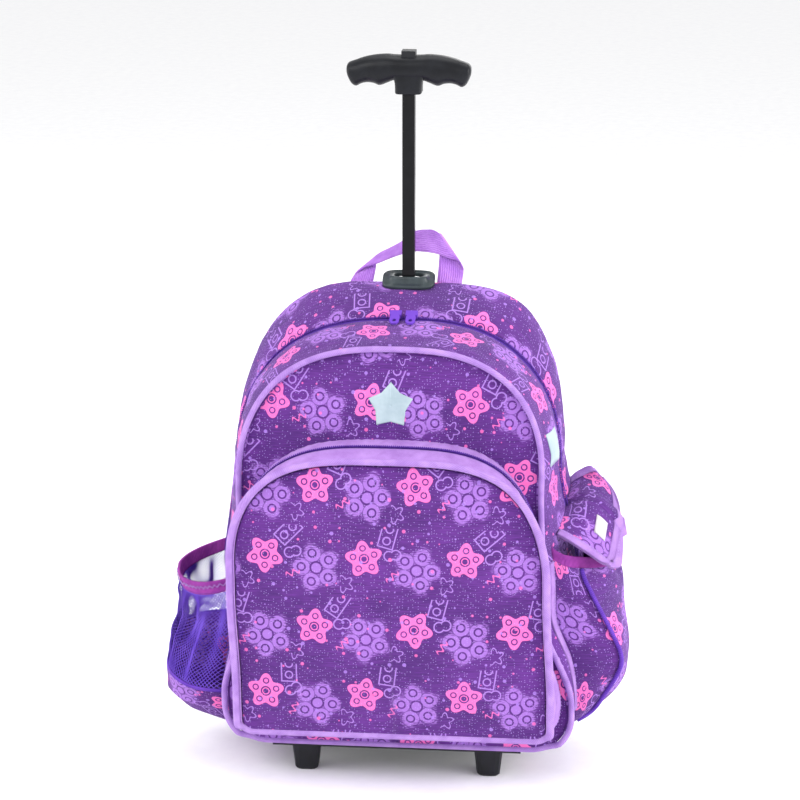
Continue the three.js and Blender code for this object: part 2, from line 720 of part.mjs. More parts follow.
// Half of the grip's outline: across from the pole, up from the collar's foot, as shares of its size
const GRIP_OUTLINE = [
  { across: 0.21, up: 0 },
  { across: 0.24, up: 0.36 },
  { across: 0.46, up: 0.22 },
  { across: 0.64, up: 0.31 },
  { across: 0.82, up: 0.19 },
  { across: 0.97, up: 0.38 },
  { across: 0.97, up: 0.78 },
  { across: 0.68, up: 0.9 },
  { across: 0.34, up: 0.99 },
  { across: 0, up: 0.97 },
];
function grip() {
  const place = ({ across, up }, side) => new THREE.Vector2(side * across * GRIP_WIDTH / 2, up * GRIP_HEIGHT);
  const right = GRIP_OUTLINE.map((row) => place(row, 1));
  const left = GRIP_OUTLINE.slice(0, -1).reverse().map((row) => place(row, -1));
  const inner = (p) => new THREE.Vector2(
    p.x * (1 - (2 * GRIP_EDGE_ROUND) / GRIP_WIDTH),
    mix(p.y, GRIP_HEIGHT / 2, (2 * GRIP_EDGE_ROUND) / GRIP_HEIGHT),
  );
  const shape = new THREE.Shape();
  const start = inner(right[0]);
  shape.moveTo(start.x, start.y);
  shape.splineThru(right.slice(1).concat(left).map(inner));
  shape.closePath();
  const geometry = new THREE.ExtrudeGeometry(shape, {
    depth: GRIP_DEPTH - 2 * GRIP_EDGE_ROUND, curveSegments: 2,
    bevelSize: GRIP_EDGE_ROUND, bevelThickness: GRIP_EDGE_ROUND, bevelSegments: 2,
  });
  geometry.rotateX(Math.PI / 2);
  geometry.translate(0, POLE_Y + GRIP_DEPTH / 2 - GRIP_EDGE_ROUND, gripBottom);
  const post = (halfX, halfY, bottom, top) => block(-halfX, halfX, POLE_Y - halfY, POLE_Y + halfY, bottom, top);
  const socket = post(POLE / 2 + GAP, POLE / 2 + GAP, gripBottom - GAP, gripBottom + GRIP_SOCKET_DEPTH);
  const pit = post(
    BUTTON_WIDTH / 2 + GAP, BUTTON_DEPTH / 2 + GAP, buttonFoot - BUTTON_TRAVEL - GAP, buttonFoot + GRIP_HEIGHT,
  );
  return combine(joined(geometry), { cut: [socket, pit] });
}
const buttonFoot = gripBottom + GRIP_HEIGHT + BUTTON_STANDS_OUT - BUTTON_HEIGHT;
addPiece('grip', grip(), 'dark');
addPiece('release_button', block(
  -BUTTON_WIDTH / 2, BUTTON_WIDTH / 2, POLE_Y - BUTTON_DEPTH / 2, POLE_Y + BUTTON_DEPTH / 2,
  buttonFoot, buttonFoot + BUTTON_HEIGHT,
), 'dark');

// A ring of a rounded rectangle, level at a height
const SQUARENESS = 0.5;
function roundedRing(width, depth, z, sides = 16) {
  return Array.from({ length: sides }, (_, n) => {
    const angle = ((n + 0.5) * 2 * Math.PI) / sides;
    const bend = (v) => Math.sign(v) * Math.abs(v) ** SQUARENESS;
    return point((bend(Math.cos(angle)) * width) / 2, (bend(Math.sin(angle)) * depth) / 2, z);
  });
}

// Grommet: a plate on the sloping top, an upright tapered collar, and an opening through both
function grommet() {
  const plate = sweep([
    roundedRing(GROMMET_WIDTH, GROMMET_DEPTH, 0),
    roundedRing(GROMMET_WIDTH - 2 * GROMMET_CHAMFER, GROMMET_DEPTH - 2 * GROMMET_CHAMFER, GROMMET_PLATE),
  ]).rotateX(backSlope);
  const collar = sweep([
    roundedRing(COLLAR_WIDTH, COLLAR_DEPTH, 0),
    roundedRing(COLLAR_WIDTH * COLLAR_TAPER, COLLAR_DEPTH * COLLAR_TAPER, GROMMET_PLATE + COLLAR_HEIGHT),
  ]);
  const under = block(-GROMMET_WIDTH, GROMMET_WIDTH, -GROMMET_WIDTH, GROMMET_WIDTH, -GROMMET_WIDTH, 0)
    .rotateX(backSlope);
  const opening = sweep([
    roundedRing(COLLAR_OPENING_WIDTH, COLLAR_OPENING_DEPTH, -GROMMET_DEPTH),
    roundedRing(COLLAR_OPENING_WIDTH, COLLAR_OPENING_DEPTH, GROMMET_DEPTH),
  ]);
  const geometry = combine(plate, { add: [collar], cut: [under, opening] });
  return geometry.translate(0, POLE_Y, grommetFoot);
}
addPiece('grommet', grommet(), 'grommet');

// Base plate with two wheel housings under the bag
const baseBottom = baseTop - BASE_PLATE;
const axleDrum = (radius, x, half) => drum(radius, x - half, x + half, WHEEL_Y, WHEEL_RADIUS, 12);
function basePlate() {
  const plate = block(-BASE_HALF_WIDTH, BASE_HALF_WIDTH, BASE_FRONT_Y, BASE_BACK_Y, baseBottom, baseTop);
  const wellRadius = WHEEL_RADIUS + WELL_CLEARANCE;
  const wellHalf = WHEEL_WIDTH / 2 + WELL_SIDE_CLEARANCE;
  const wells = [-1, 1].map((side) => drum(
    wellRadius, side * WHEEL_X - wellHalf, side * WHEEL_X + wellHalf, WHEEL_Y, WHEEL_RADIUS, 24,
  ));
  const bores = [-1, 1].map((side) => axleDrum(AXLE_RADIUS + GAP, side * WHEEL_X, 2 * housingHalf));
  const skirt = block(
    -2 * BASE_HALF_WIDTH, 2 * BASE_HALF_WIDTH, WHEEL_Y - 2 * housingRadius, WHEEL_Y + 2 * housingRadius,
    -WHEEL_RADIUS, WHEEL_RADIUS - HOUSING_SKIRT,
  );
  return combine(plate, { add: [housingRoom(-1, 0), housingRoom(1, 0)], cut: [...wells, ...bores, skirt] });
}
addPiece('base_plate', basePlate(), 'dark');

// A foot tapers down from the base plate to a chamfered sole
function foot(x) {
  const level = (width, depth, z) => roundedRing(width, depth, z, 12);
  const soleWidth = FOOT_TOP_WIDTH * FOOT_TAPER;
  const soleDepth = FOOT_TOP_DEPTH * FOOT_TAPER;
  return sweep([
    level(soleWidth - 2 * FOOT_CHAMFER, soleDepth - 2 * FOOT_CHAMFER, 0),
    level(soleWidth, soleDepth, FOOT_CHAMFER),
    level(FOOT_TOP_WIDTH, FOOT_TOP_DEPTH, baseBottom - GAP),
  ]).translate(x, FOOT_Y, 0);
}

// Wheels: a tyre on a hub, turning on an axle held by the housing.
// A section is given as shares: out from its inner radius to its outer one, and to the side of half the width
const tyreInner = WHEEL_RADIUS - TYRE_THICK;
const TYRE_SECTION = [
  { out: 0, side: -0.86 }, { out: 0.83, side: -1 }, { out: 1, side: -0.7 },
  { out: 1, side: 0.7 }, { out: 0.83, side: 1 }, { out: 0, side: 0.86 },
];
const HUB_SECTION = [
  { out: 0, side: -1 }, { out: 0.3, side: -1 }, { out: 1, side: -0.6 },
  { out: 1, side: 0.6 }, { out: 0.3, side: 1 }, { out: 0, side: 1 },
];
function wheelPart(rows, inner, outer, x) {
  const profile = [...rows, rows[0]].map(({ out, side }) => (
    new THREE.Vector2(mix(inner, outer, out), (side * WHEEL_WIDTH) / 2)
  ));
  return joined(new THREE.LatheGeometry(profile, 20).rotateZ(-Math.PI / 2)).translate(x, WHEEL_Y, WHEEL_RADIUS);
}
for (const [name, side] of [['left', -1], ['right', 1]]) {
  const x = side * WHEEL_X;
  addPiece(`foot_${name}`, foot(side * FOOT_X), 'dark');
  addPiece(`tyre_${name}`, wheelPart(TYRE_SECTION, tyreInner, WHEEL_RADIUS, x), 'dark');
  addPiece(`hub_${name}`, wheelPart(HUB_SECTION, AXLE_RADIUS + GAP, tyreInner - GAP, x), 'dark');
  addPiece(`axle_${name}`, axleDrum(AXLE_RADIUS, x, housingHalf + AXLE_RADIUS / 2), 'steel');
}

// Carry loop behind the pole, folded over at both shoulders. Its two edges are given as shares of half the span
// and of the rise, as [across, back, up], and face is where its outer side looks
const LOOP = [
  { low: [1.28, 0, 0.04], high: [0.71, 0, 0.05], face: [0, 1, 0] },
  { low: [1.3, 0.07, 0.15], high: [0.73, 0.07, 0.25], face: [0, 1, 0] },
  { low: [1.3, 0.13, 0.22], high: [0.76, 0.13, 0.58], face: [0.4, 1, 0.1] },
  { low: [1.29, 0.1, 0.31], high: [0.8, 0.12, 0.88], face: [0.85, 0.2, 0.5] },
  { low: [1.19, 0.05, 0.43], high: [0.73, 0.08, 0.95], face: [0.3, -0.9, 0.3] },
  { low: [0.93, 0.04, 0.49], high: [0.62, 0.08, 1], face: [0, -1, 0.2] },
  { low: [0.65, 0.04, 0.57], high: [0.5, 0.12, 1], face: [0, -1, 0.2] },
  { low: [0.21, 0.04, 0.6], high: [0.2, 0.15, 0.96], face: [0, -1, 0.4] },
  { low: [-0.1, 0.04, 0.54], high: [-0.12, 0.21, 0.75], face: [0, -0.9, 0.6] },
  { low: [-0.37, 0.04, 0.46], high: [-0.39, 0.23, 0.62], face: [-0.1, -0.8, 0.7] },
  { low: [-0.66, 0.04, 0.36], high: [-0.56, 0.23, 0.55], face: [-0.2, -0.8, 0.7] },
  { low: [-0.92, 0.06, 0.29], high: [-0.64, 0.23, 0.51], face: [-0.4, -0.7, 0.6] },
  { low: [-1.12, 0.1, 0.19], high: [-0.67, 0.27, 0.47], face: [-0.7, 0, 0.7] },
  { low: [-1.2, 0.1, 0.12], high: [-0.69, 0.23, 0.38], face: [-0.2, 1, 0.2] },
  { low: [-1.25, 0.06, 0.06], high: [-0.71, 0.1, 0.21], face: [0, 1, 0] },
  { low: [-1.27, 0, 0.02], high: [-0.75, 0, 0.02], face: [0, 1, 0] },
];
function carryLoop() {
  const depth = BACK_FACE_Y + GAP + WEBBING_THICK / 2;
  const edge = ([across, back, up]) => point(
    LOOP_CENTRE_X + (across * LOOP_SPAN) / 2, depth + back * LOOP_RISE, LOOP_FOOT + LOOP_RISE * up,
  );
  const stations = LOOP.map(({ low, high, face }) => {
    const across = edge(high).sub(edge(low));
    return {
      middle: edge(low).lerp(edge(high), 0.5), across, facing: point(...face),
      wide: across.length() / LOOP_WIDTH,
    };
  });
  const sewn = (station) => ({ ...station, middle: station.middle.clone().setZ(LOOP_FOOT - LOOP_WIDTH) });
  return strap(
    [sewn(stations[0]), ...stations, sewn(stations[LOOP.length - 1])], LOOP_WIDTH, WEBBING_THICK,
  );
}
addPiece('carry_loop', carryLoop(), 'lilac');

// Shoulder straps: a padded strap bowed off the back panel, an adjuster, and a webbing tail to the side
const PAD_PATH = [
  { along: 0, bow: 0 }, { along: 0.06, bow: 0.1 }, { along: 0.2, bow: 0.6 }, { along: 0.42, bow: 1 },
  { along: 0.65, bow: 0.95 }, { along: 0.85, bow: 0.7 }, { along: 1, bow: 0.5 },
];
const TAIL_PATH = [{ along: 0, bow: 0.46 }, { along: 0.5, bow: 0.22 }, { along: 1, bow: 0 }];
const padBottom = STRAP_TOP - STRAP_PAD_LENGTH;
function strapPath(rows, side, from, to, thick) {
  const start = BACK_FACE_Y + GAP + thick / 2;
  return rows.map(({ along, bow }) => ({
    middle: point(side * mix(from.x, to.x, along), start + bow * STRAP_BOW, mix(from.z, to.z, along)),
    across: point(1, 0, 0),
    facing: point(0, 1, 0),
  }));
}
const padEnd = { x: STRAP_TOP_X + STRAP_SPREAD, z: padBottom };
const adjusterEnd = { x: padEnd.x, z: padBottom - ADJUSTER_HEIGHT - 2 * GAP };
for (const [name, side] of [['left', -1], ['right', 1]]) {
  const top = { x: STRAP_TOP_X, z: STRAP_TOP };
  addPiece(`strap_pad_${name}`, strap(
    strapPath(PAD_PATH, side, top, padEnd, STRAP_THICK), STRAP_WIDTH, STRAP_THICK,
  ), 'pad');
  const level = BACK_FACE_Y + GAP + STRAP_THICK / 2 + PAD_PATH[PAD_PATH.length - 1].bow * STRAP_BOW;
  const x = side * padEnd.x;
  const halfSlot = TAIL_WIDTH / 2 + SLOT_CLEARANCE;
  const slot = (z) => block(
    x - halfSlot, x + halfSlot, level - ADJUSTER_THICK, level + ADJUSTER_THICK, z, z + ADJUSTER_SLOT,
  );
  const bottom = adjusterEnd.z + GAP;
  addPiece(`adjuster_${name}`, combine(block(
    x - ADJUSTER_WIDTH / 2, x + ADJUSTER_WIDTH / 2, level - ADJUSTER_THICK / 2, level + ADJUSTER_THICK / 2,
    bottom, bottom + ADJUSTER_HEIGHT,
  ), {
    cut: [slot(bottom + ADJUSTER_BAR), slot(bottom + ADJUSTER_HEIGHT - ADJUSTER_BAR - ADJUSTER_SLOT)],
  }), 'dark');
  const tailEnd = { x: padEnd.x + TAIL_SPREAD, z: adjusterEnd.z - TAIL_DROP };
  addPiece(`strap_tail_${name}`, strap(
    strapPath(TAIL_PATH, side, adjusterEnd, tailEnd, WEBBING_THICK), TAIL_WIDTH, WEBBING_THICK,
  ), 'violet');
}

// A place on the bag's side: where the side is at this depth and height, and so far out from it.
// It is looked for from well outside, at so many half widths
const LOOK_FROM = 3;
function onSide(side, y, z, out) {
  const hit = meet(bagSides, point(side * LOOK_FROM * BACK_HALF_WIDTH, y, z), point(-side, 0, 0));
  const x = hit ? hit.x : side * BACK_HALF_WIDTH;
  return point(x + side * out, y, z);
}

// Net pocket on the left, by level: how far it reaches out, how far its middle sags below its ends,
// and how much of the seam's rise from front to back it takes
const NET_LEVELS = [
  { name: 'rimTop', z: NET_RIM_TOP, reach: 0.78, sag: 1, tilt: 0.12 },
  { name: 'rimFoot', z: NET_RIM_TOP - NET_RIM_HEIGHT, reach: 0.74, sag: 1, tilt: 0.12 },
  { name: 'upper', z: mix(NET_SEAM_Z, NET_RIM_TOP, 0.6), reach: 0.74, sag: 0.7, tilt: 0.3 },
  { name: 'middle', z: mix(NET_SEAM_Z, NET_RIM_TOP, 0.3), reach: 0.86, sag: 0.3, tilt: 0.7 },
  { name: 'seam', z: NET_SEAM_Z, reach: 0.97, sag: 0, tilt: 1 },
  { name: 'low', z: mix(NET_BOTTOM_Z, NET_SEAM_Z, 0.45), reach: 1.02, sag: 0, tilt: 0.3 },
  { name: 'turn', z: mix(NET_BOTTOM_Z, NET_SEAM_Z, 0.16), reach: 0.88, sag: 0, tilt: 0 },
  { name: 'under', z: NET_BOTTOM_Z, reach: 0.5, sag: 0, tilt: 0 },
  { name: 'foot', z: mix(NET_BOTTOM_Z, NET_SEAM_Z, 0.04), reach: 0, sag: 0, tilt: 0 },
];
const NET_LEVEL_SHARE = 0.4;
const NET_STEPS = 10;
const NET_ROUND = { bow: 0.7, bend: 0.85 };
function netRow(level, extra) {
  return Array.from({ length: NET_STEPS + 1 }, (_, n) => {
    const angle = (Math.PI * n) / NET_STEPS;
    const bow = Math.sin(angle) ** NET_ROUND.bow;
    const bend = Math.sign(Math.cos(angle)) * Math.abs(Math.cos(angle)) ** NET_ROUND.bend;
    const back = (1 - bend) / 2;
    const y = mix(SIDE_FRONT_Y, SIDE_BACK_Y, back);
    const z = level.z - NET_RIM_SAG * level.sag * bow + NET_SEAM_RISE * level.tilt * (back - NET_LEVEL_SHARE);
    return onSide(-1, y, z, (level.reach * NET_REACH + extra) * bow - SEAM_DEPTH);
  });
}
const NET_INSIDE = 0.33;
const netInside = point(-BACK_HALF_WIDTH - NET_REACH * NET_INSIDE, (SIDE_FRONT_Y + SIDE_BACK_Y) / 2, NET_SEAM_Z);
const levelAt = (name) => NET_LEVELS.find((row) => row.name === name);
function netWall(names, wall, extra, below) {
  const rows = names.map((name) => netRow(levelAt(name), extra));
  for (const p of rows[0]) p.z -= below;
  return sewnOnto(thicken(rows, wall, { inside: netInside, rimAxis: 'z' }));
}
addPiece('net_rim', netWall(['rimTop', 'rimFoot'], NET_RIM_THICK, NET_RIM_OUT, 0), 'rim');
addPiece('net_pocket', netWall(['rimFoot', 'upper', 'middle', 'seam'], NET_WALL, 0, GAP), 'net');
addPiece('net_base', netWall(['seam', 'low', 'turn', 'under', 'foot'], WALL, 0, GAP), 'print');

// Tape down the front edge of each side pocket, made thick enough to be cut by the bag's side
const TAPE_STEPS = 20;
function sideTape(side, top, bottom) {
  const y = SIDE_FRONT_Y - GAP - TAPE_WIDTH / 2;
  return sewnOnto(strap(Array.from({ length: TAPE_STEPS + 1 }, (_, n) => {
    const z = mix(bottom, top, n / TAPE_STEPS);
    const [front, back] = [-0.5, 0.5].map((s) => onSide(side, y + s * TAPE_WIDTH, z, -TAPE_THICK));
    return { middle: front.clone().lerp(back, 0.5), across: back.sub(front), facing: point(side, 0, 0) };
  }), TAPE_WIDTH, 4 * TAPE_THICK));
}
addPiece('net_tape', sideTape(-1, NET_RIM_TOP, NET_BOTTOM_Z + TAPE_LIFT), 'lilac');

// Pouch on the right, by level: how far its piped front edge and its outer wall reach out
const pouchHeight = POUCH_TOP - POUCH_BOTTOM;
const POUCH_LEVELS = [
  { name: 'rimTop', up: 1, edge: 0.27, outer: 0.58 },
  { name: 'rimFoot', up: 1 - POUCH_RIM_HEIGHT / pouchHeight, edge: 0.3, outer: 0.65 },
  { name: 'shoulder', up: 0.8, edge: 0.4, outer: 0.73 },
  { name: 'upper', up: 0.58, edge: 0.68, outer: 0.75 },
  { name: 'middle', up: 0.37, edge: 0.77, outer: 0.79 },
  { name: 'lower', up: 0.22, edge: 0.54, outer: 0.74 },
  { name: 'turn', up: 0.08, edge: 0.28, outer: 0.45 },
  { name: 'foot', up: 0, edge: 0, outer: 0 },
];
const POUCH_TURNS = [
  { back: 0, edge: 0, outer: 0 },
  { back: 0.05, edge: 0.6, outer: 0 },
  { back: 0.14, edge: 1, outer: 0 },
  { back: 0.32, edge: 0.35, outer: 0.65 },
  { back: 0.55, edge: 0, outer: 1 },
  { back: 0.78, edge: 0, outer: 0.94 },
  { back: 0.94, edge: 0, outer: 0.6 },
  { back: 1, edge: 0, outer: 0 },
];
const POUCH_CORNER = POUCH_TURNS[2];
const MOUTH_CURVE = 0.6;
function pouchPoint(level, turn) {
  const out = (level.edge * turn.edge + level.outer * turn.outer) * POUCH_REACH;
  const sag = POUCH_MOUTH_SAG * (out / POUCH_REACH) ** MOUTH_CURVE * level.up ** 3;
  const z = POUCH_BOTTOM + pouchHeight * level.up - sag;
  return onSide(1, mix(SIDE_FRONT_Y, SIDE_BACK_Y, turn.back), z, out - SEAM_DEPTH);
}
const pouchInside = point(BACK_HALF_WIDTH + POUCH_REACH / 3, (SIDE_FRONT_Y + SIDE_BACK_Y) / 2, POUCH_TOP / 2);
function pouchWall(levels, below) {
  const rows = levels.map((level) => POUCH_TURNS.map((turn) => pouchPoint(level, turn)));
  for (const p of rows[0]) p.z -= below;
  return sewnOnto(thicken(rows, WALL, { inside: pouchInside, rimAxis: 'z' }));
}
const [pouchRimTop, ...pouchBody] = POUCH_LEVELS;
addPiece('pouch_rim', pouchWall([pouchRimTop, pouchBody[0]], 0), 'rim');
addPiece('pouch', pouchWall(pouchBody, 2 * GAP), 'print');
addPiece('pouch_tape', sideTape(1, POUCH_TOP - POUCH_RIM_HEIGHT, POUCH_BOTTOM + TAPE_LIFT), 'lilac');

const pipingOut = (POUCH_PIPING_RADIUS + GAP) * Math.SQRT1_2 + GAP;
addPiece('pouch_piping', cordAlong(
  pouchBody.slice(0, -1).map((level) => pouchPoint(level, POUCH_CORNER).add(point(pipingOut, -pipingOut, 0))),
  POUCH_PIPING_RADIUS, false,
), 'violet');

// Flap over the pouch, hinged on the bag's side. Its sections run out from the hinge, and fall to the front.
// Each section's roll says how far it goes from a plain slope to a full crown that falls at its outer edge
const FLAP_SECTIONS = [
  { back: 0, reach: 1, puff: 0, drop: 0.63, roll: 0 },
  { back: 0.16, reach: 1.04, puff: 0.35, drop: 0.76, roll: 0.2 },
  { back: 0.38, reach: 1.04, puff: 0.75, drop: 0.62, roll: 0.3 },
  { back: 0.6, reach: 1.01, puff: 1, drop: 0.4, roll: 0.3 },
  { back: 0.82, reach: 0.85, puff: 0.8, drop: 0.12, roll: 0.2 },
  { back: 1, reach: 0.46, puff: 0.4, drop: -0.2, roll: 0 },
];
const FLAP_PROFILE = [
  { out: 0, crown: 0, fall: 0, slope: 0 },
  { out: 0.28, crown: 0.8, fall: 0.03, slope: 0.25 },
  { out: 0.6, crown: 1, fall: 0.06, slope: 0.58 },
  { out: 0.83, crown: 0.7, fall: 0.42, slope: 0.82 },
  { out: 0.95, crown: 0.25, fall: 0.8, slope: 0.95 },
  { out: 1, crown: 0, fall: 1, slope: 1 },
];
const FLAP_FRONT_Y = SIDE_FRONT_Y + FLAP_SETBACK;
const FLAP_BACK_Y = SIDE_BACK_Y + FLAP_OVERHANG;
function flapRow({ back, reach, puff, drop, roll }) {
  const y = mix(FLAP_FRONT_Y, FLAP_BACK_Y, back);
  const hinge = onSide(1, y, mix(FLAP_FRONT_Z, FLAP_BACK_Z, back), -SEAM_DEPTH);
  return FLAP_PROFILE.map(({ out, crown, fall, slope }) => {
    const rise = FLAP_PUFF * puff * crown - FLAP_DROP * drop * mix(slope, fall, roll);
    return hinge.clone().add(point(FLAP_REACH * reach * out, 0, rise));
  });
}
const flapRows = FLAP_SECTIONS.map(flapRow);

// The binding wraps the flap's three free edges, and the flap's own cloth stops where the binding begins
function flapEdgeStations() {
  const last = flapRows.length - 1;
  const edge = FLAP_PROFILE.length - 1;
  const station = (middle, from, along) => {
    const across = middle.clone().sub(from);
    return { middle, across, facing: across.clone().cross(along) };
  };
  const front = flapRows[0].slice(1, -1).map((p, n) => (
    station(p, flapRows[1][n + 1], flapRows[0][n + 2].clone().sub(flapRows[0][n]))
  ));
  const outer = flapRows.map((row, k) => station(
    row[edge], row[edge - 1],
    flapRows[Math.min(k + 1, last)][edge].clone().sub(flapRows[Math.max(k - 1, 0)][edge]),
  ));
  const back = flapRows[last].slice(1, -1).map((p, n) => (
    station(p, flapRows[last - 1][n + 1], flapRows[last][n].clone().sub(flapRows[last][n + 2]))
  )).reverse();
  return [...front, ...outer, ...back];
}
const flapStations = flapEdgeStations();
const bindingRoom = strap(
  flapStations, FLAP_BINDING_WIDTH + 2 * FLAP_CLEARANCE, FLAP_BINDING_THICK + 2 * FLAP_CLEARANCE,
);
addPiece('pouch_flap', trim(
  thicken(flapRows, WALL, { inside: pouchInside }), [...bagRooms, bindingRoom],
), 'print');
addPiece('flap_binding', sewnOnto(strap(flapStations, FLAP_BINDING_WIDTH, FLAP_BINDING_THICK)), 'lilac');

const bounds = new THREE.Box3().setFromObject(part);
const middle = bounds.getCenter(point(0, 0, 0));
part.position.set(-middle.x, -middle.y, -bounds.min.z);

export default part;
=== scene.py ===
# A child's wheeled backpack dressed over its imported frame: metres, +Z up, the shoulder straps towards +Y.
# Shapes are worked out in millimetres from the trolley pole's axis and then moved to the frame.
import math
import bmesh
import bpy
import numpy as np
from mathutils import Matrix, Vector
from mathutils.bvhtree import BVHTree


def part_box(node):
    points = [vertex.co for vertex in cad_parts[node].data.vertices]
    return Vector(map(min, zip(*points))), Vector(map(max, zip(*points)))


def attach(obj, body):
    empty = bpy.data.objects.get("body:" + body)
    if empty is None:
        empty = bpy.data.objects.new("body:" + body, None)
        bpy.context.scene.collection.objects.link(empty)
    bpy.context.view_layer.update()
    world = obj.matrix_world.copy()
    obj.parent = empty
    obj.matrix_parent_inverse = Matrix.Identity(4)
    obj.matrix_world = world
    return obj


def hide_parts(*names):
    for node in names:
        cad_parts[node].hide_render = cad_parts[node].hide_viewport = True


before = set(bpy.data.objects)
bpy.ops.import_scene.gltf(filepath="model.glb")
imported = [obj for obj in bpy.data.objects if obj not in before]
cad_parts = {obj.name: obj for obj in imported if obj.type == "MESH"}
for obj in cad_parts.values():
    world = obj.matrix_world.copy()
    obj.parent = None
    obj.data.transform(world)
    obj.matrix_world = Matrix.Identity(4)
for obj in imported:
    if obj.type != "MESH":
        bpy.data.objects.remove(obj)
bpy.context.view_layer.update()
MM = 0.001
pole_low, pole_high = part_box("pole")
POLE_Y = 50
SHIFT = np.array([(pole_low[0] + pole_high[0]) / 2, (pole_low[1] + pole_high[1]) / 2 - POLE_Y * MM, 0.0])
BODY = "bag"

# Camera and light
CAMERA_AZIMUTH, CAMERA_ELEVATION, CAMERA_DISTANCE, CAMERA_TARGET = 5.5, 15.5, 2600, (-3.6, 0, 350)
FOCAL_PIXELS, IMAGE_PIXELS, SENSOR = 2756, 800, 36


def place(points):
    """Millimetres from the pole's axis to metres in the frame."""
    return np.asarray(points, float) * MM + SHIFT


def aim(obj, target):
    obj.rotation_euler = (Vector(target) - obj.location).to_track_quat("-Z", "Y").to_euler()


def make_camera():
    azimuth, elevation = math.radians(CAMERA_AZIMUTH), math.radians(CAMERA_ELEVATION)
    level = math.cos(elevation)
    away = np.array([math.sin(azimuth) * level, -math.cos(azimuth) * level, math.sin(elevation)])
    data = bpy.data.cameras.new("camera")
    data.sensor_width = SENSOR
    data.lens = FOCAL_PIXELS * SENSOR / IMAGE_PIXELS
    data.clip_end = 20
    camera = bpy.data.objects.new("camera", data)
    bpy.context.scene.collection.objects.link(camera)
    camera.location = place(np.array(CAMERA_TARGET) + CAMERA_DISTANCE * away)
    aim(camera, place(CAMERA_TARGET))
    bpy.context.scene.camera = camera


LIGHT_AIM = (0, 0, 0.25)


def make_light(name, at, size, power):
    data = bpy.data.lights.new(name, "AREA")
    data.shape = "DISK"
    data.size, data.energy = size, power
    light = bpy.data.objects.new(name, data)
    bpy.context.scene.collection.objects.link(light)
    light.location = at
    aim(light, LIGHT_AIM)


make_camera()
make_light("key", (-1.1, -1.9, 2.0), 1.3, 26)
make_light("fill", (1.5, -1.9, 1.1), 1.6, 12)
make_light("left", (-2.3, -0.5, 0.7), 1.4, 30)
make_light("right", (2.2, -0.5, 1.0), 1.4, 44)
make_light("top", (0.1, 0.4, 2.4), 1.4, 16)
make_light("rim", (0.6, 2.2, 1.3), 1.6, 18)
world = bpy.data.worlds.new("world")
world.use_nodes = True
world.node_tree.nodes["Background"].inputs[0].default_value = (1, 1, 1, 1)
world.node_tree.nodes["Background"].inputs[1].default_value = 0.95
bpy.context.scene.world = world
bpy.context.scene.view_settings.view_transform = "Standard"
bpy.context.scene.view_settings.look = "None"


# Materials: node graphs written as arithmetic
class Value:
    """A number socket of a node graph, or a plain number, with arithmetic."""

    def __init__(self, graph, socket):
        self.graph, self.socket = graph, socket

    def __add__(self, other): return self.graph.math("ADD", self, other)
    def __radd__(self, other): return self.graph.math("ADD", other, self)
    def __sub__(self, other): return self.graph.math("SUBTRACT", self, other)
    def __rsub__(self, other): return self.graph.math("SUBTRACT", other, self)
    def __mul__(self, other): return self.graph.math("MULTIPLY", self, other)
    def __rmul__(self, other): return self.graph.math("MULTIPLY", other, self)
    def __truediv__(self, other): return self.graph.math("DIVIDE", self, other)
    def __neg__(self): return self.graph.math("MULTIPLY", self, -1)


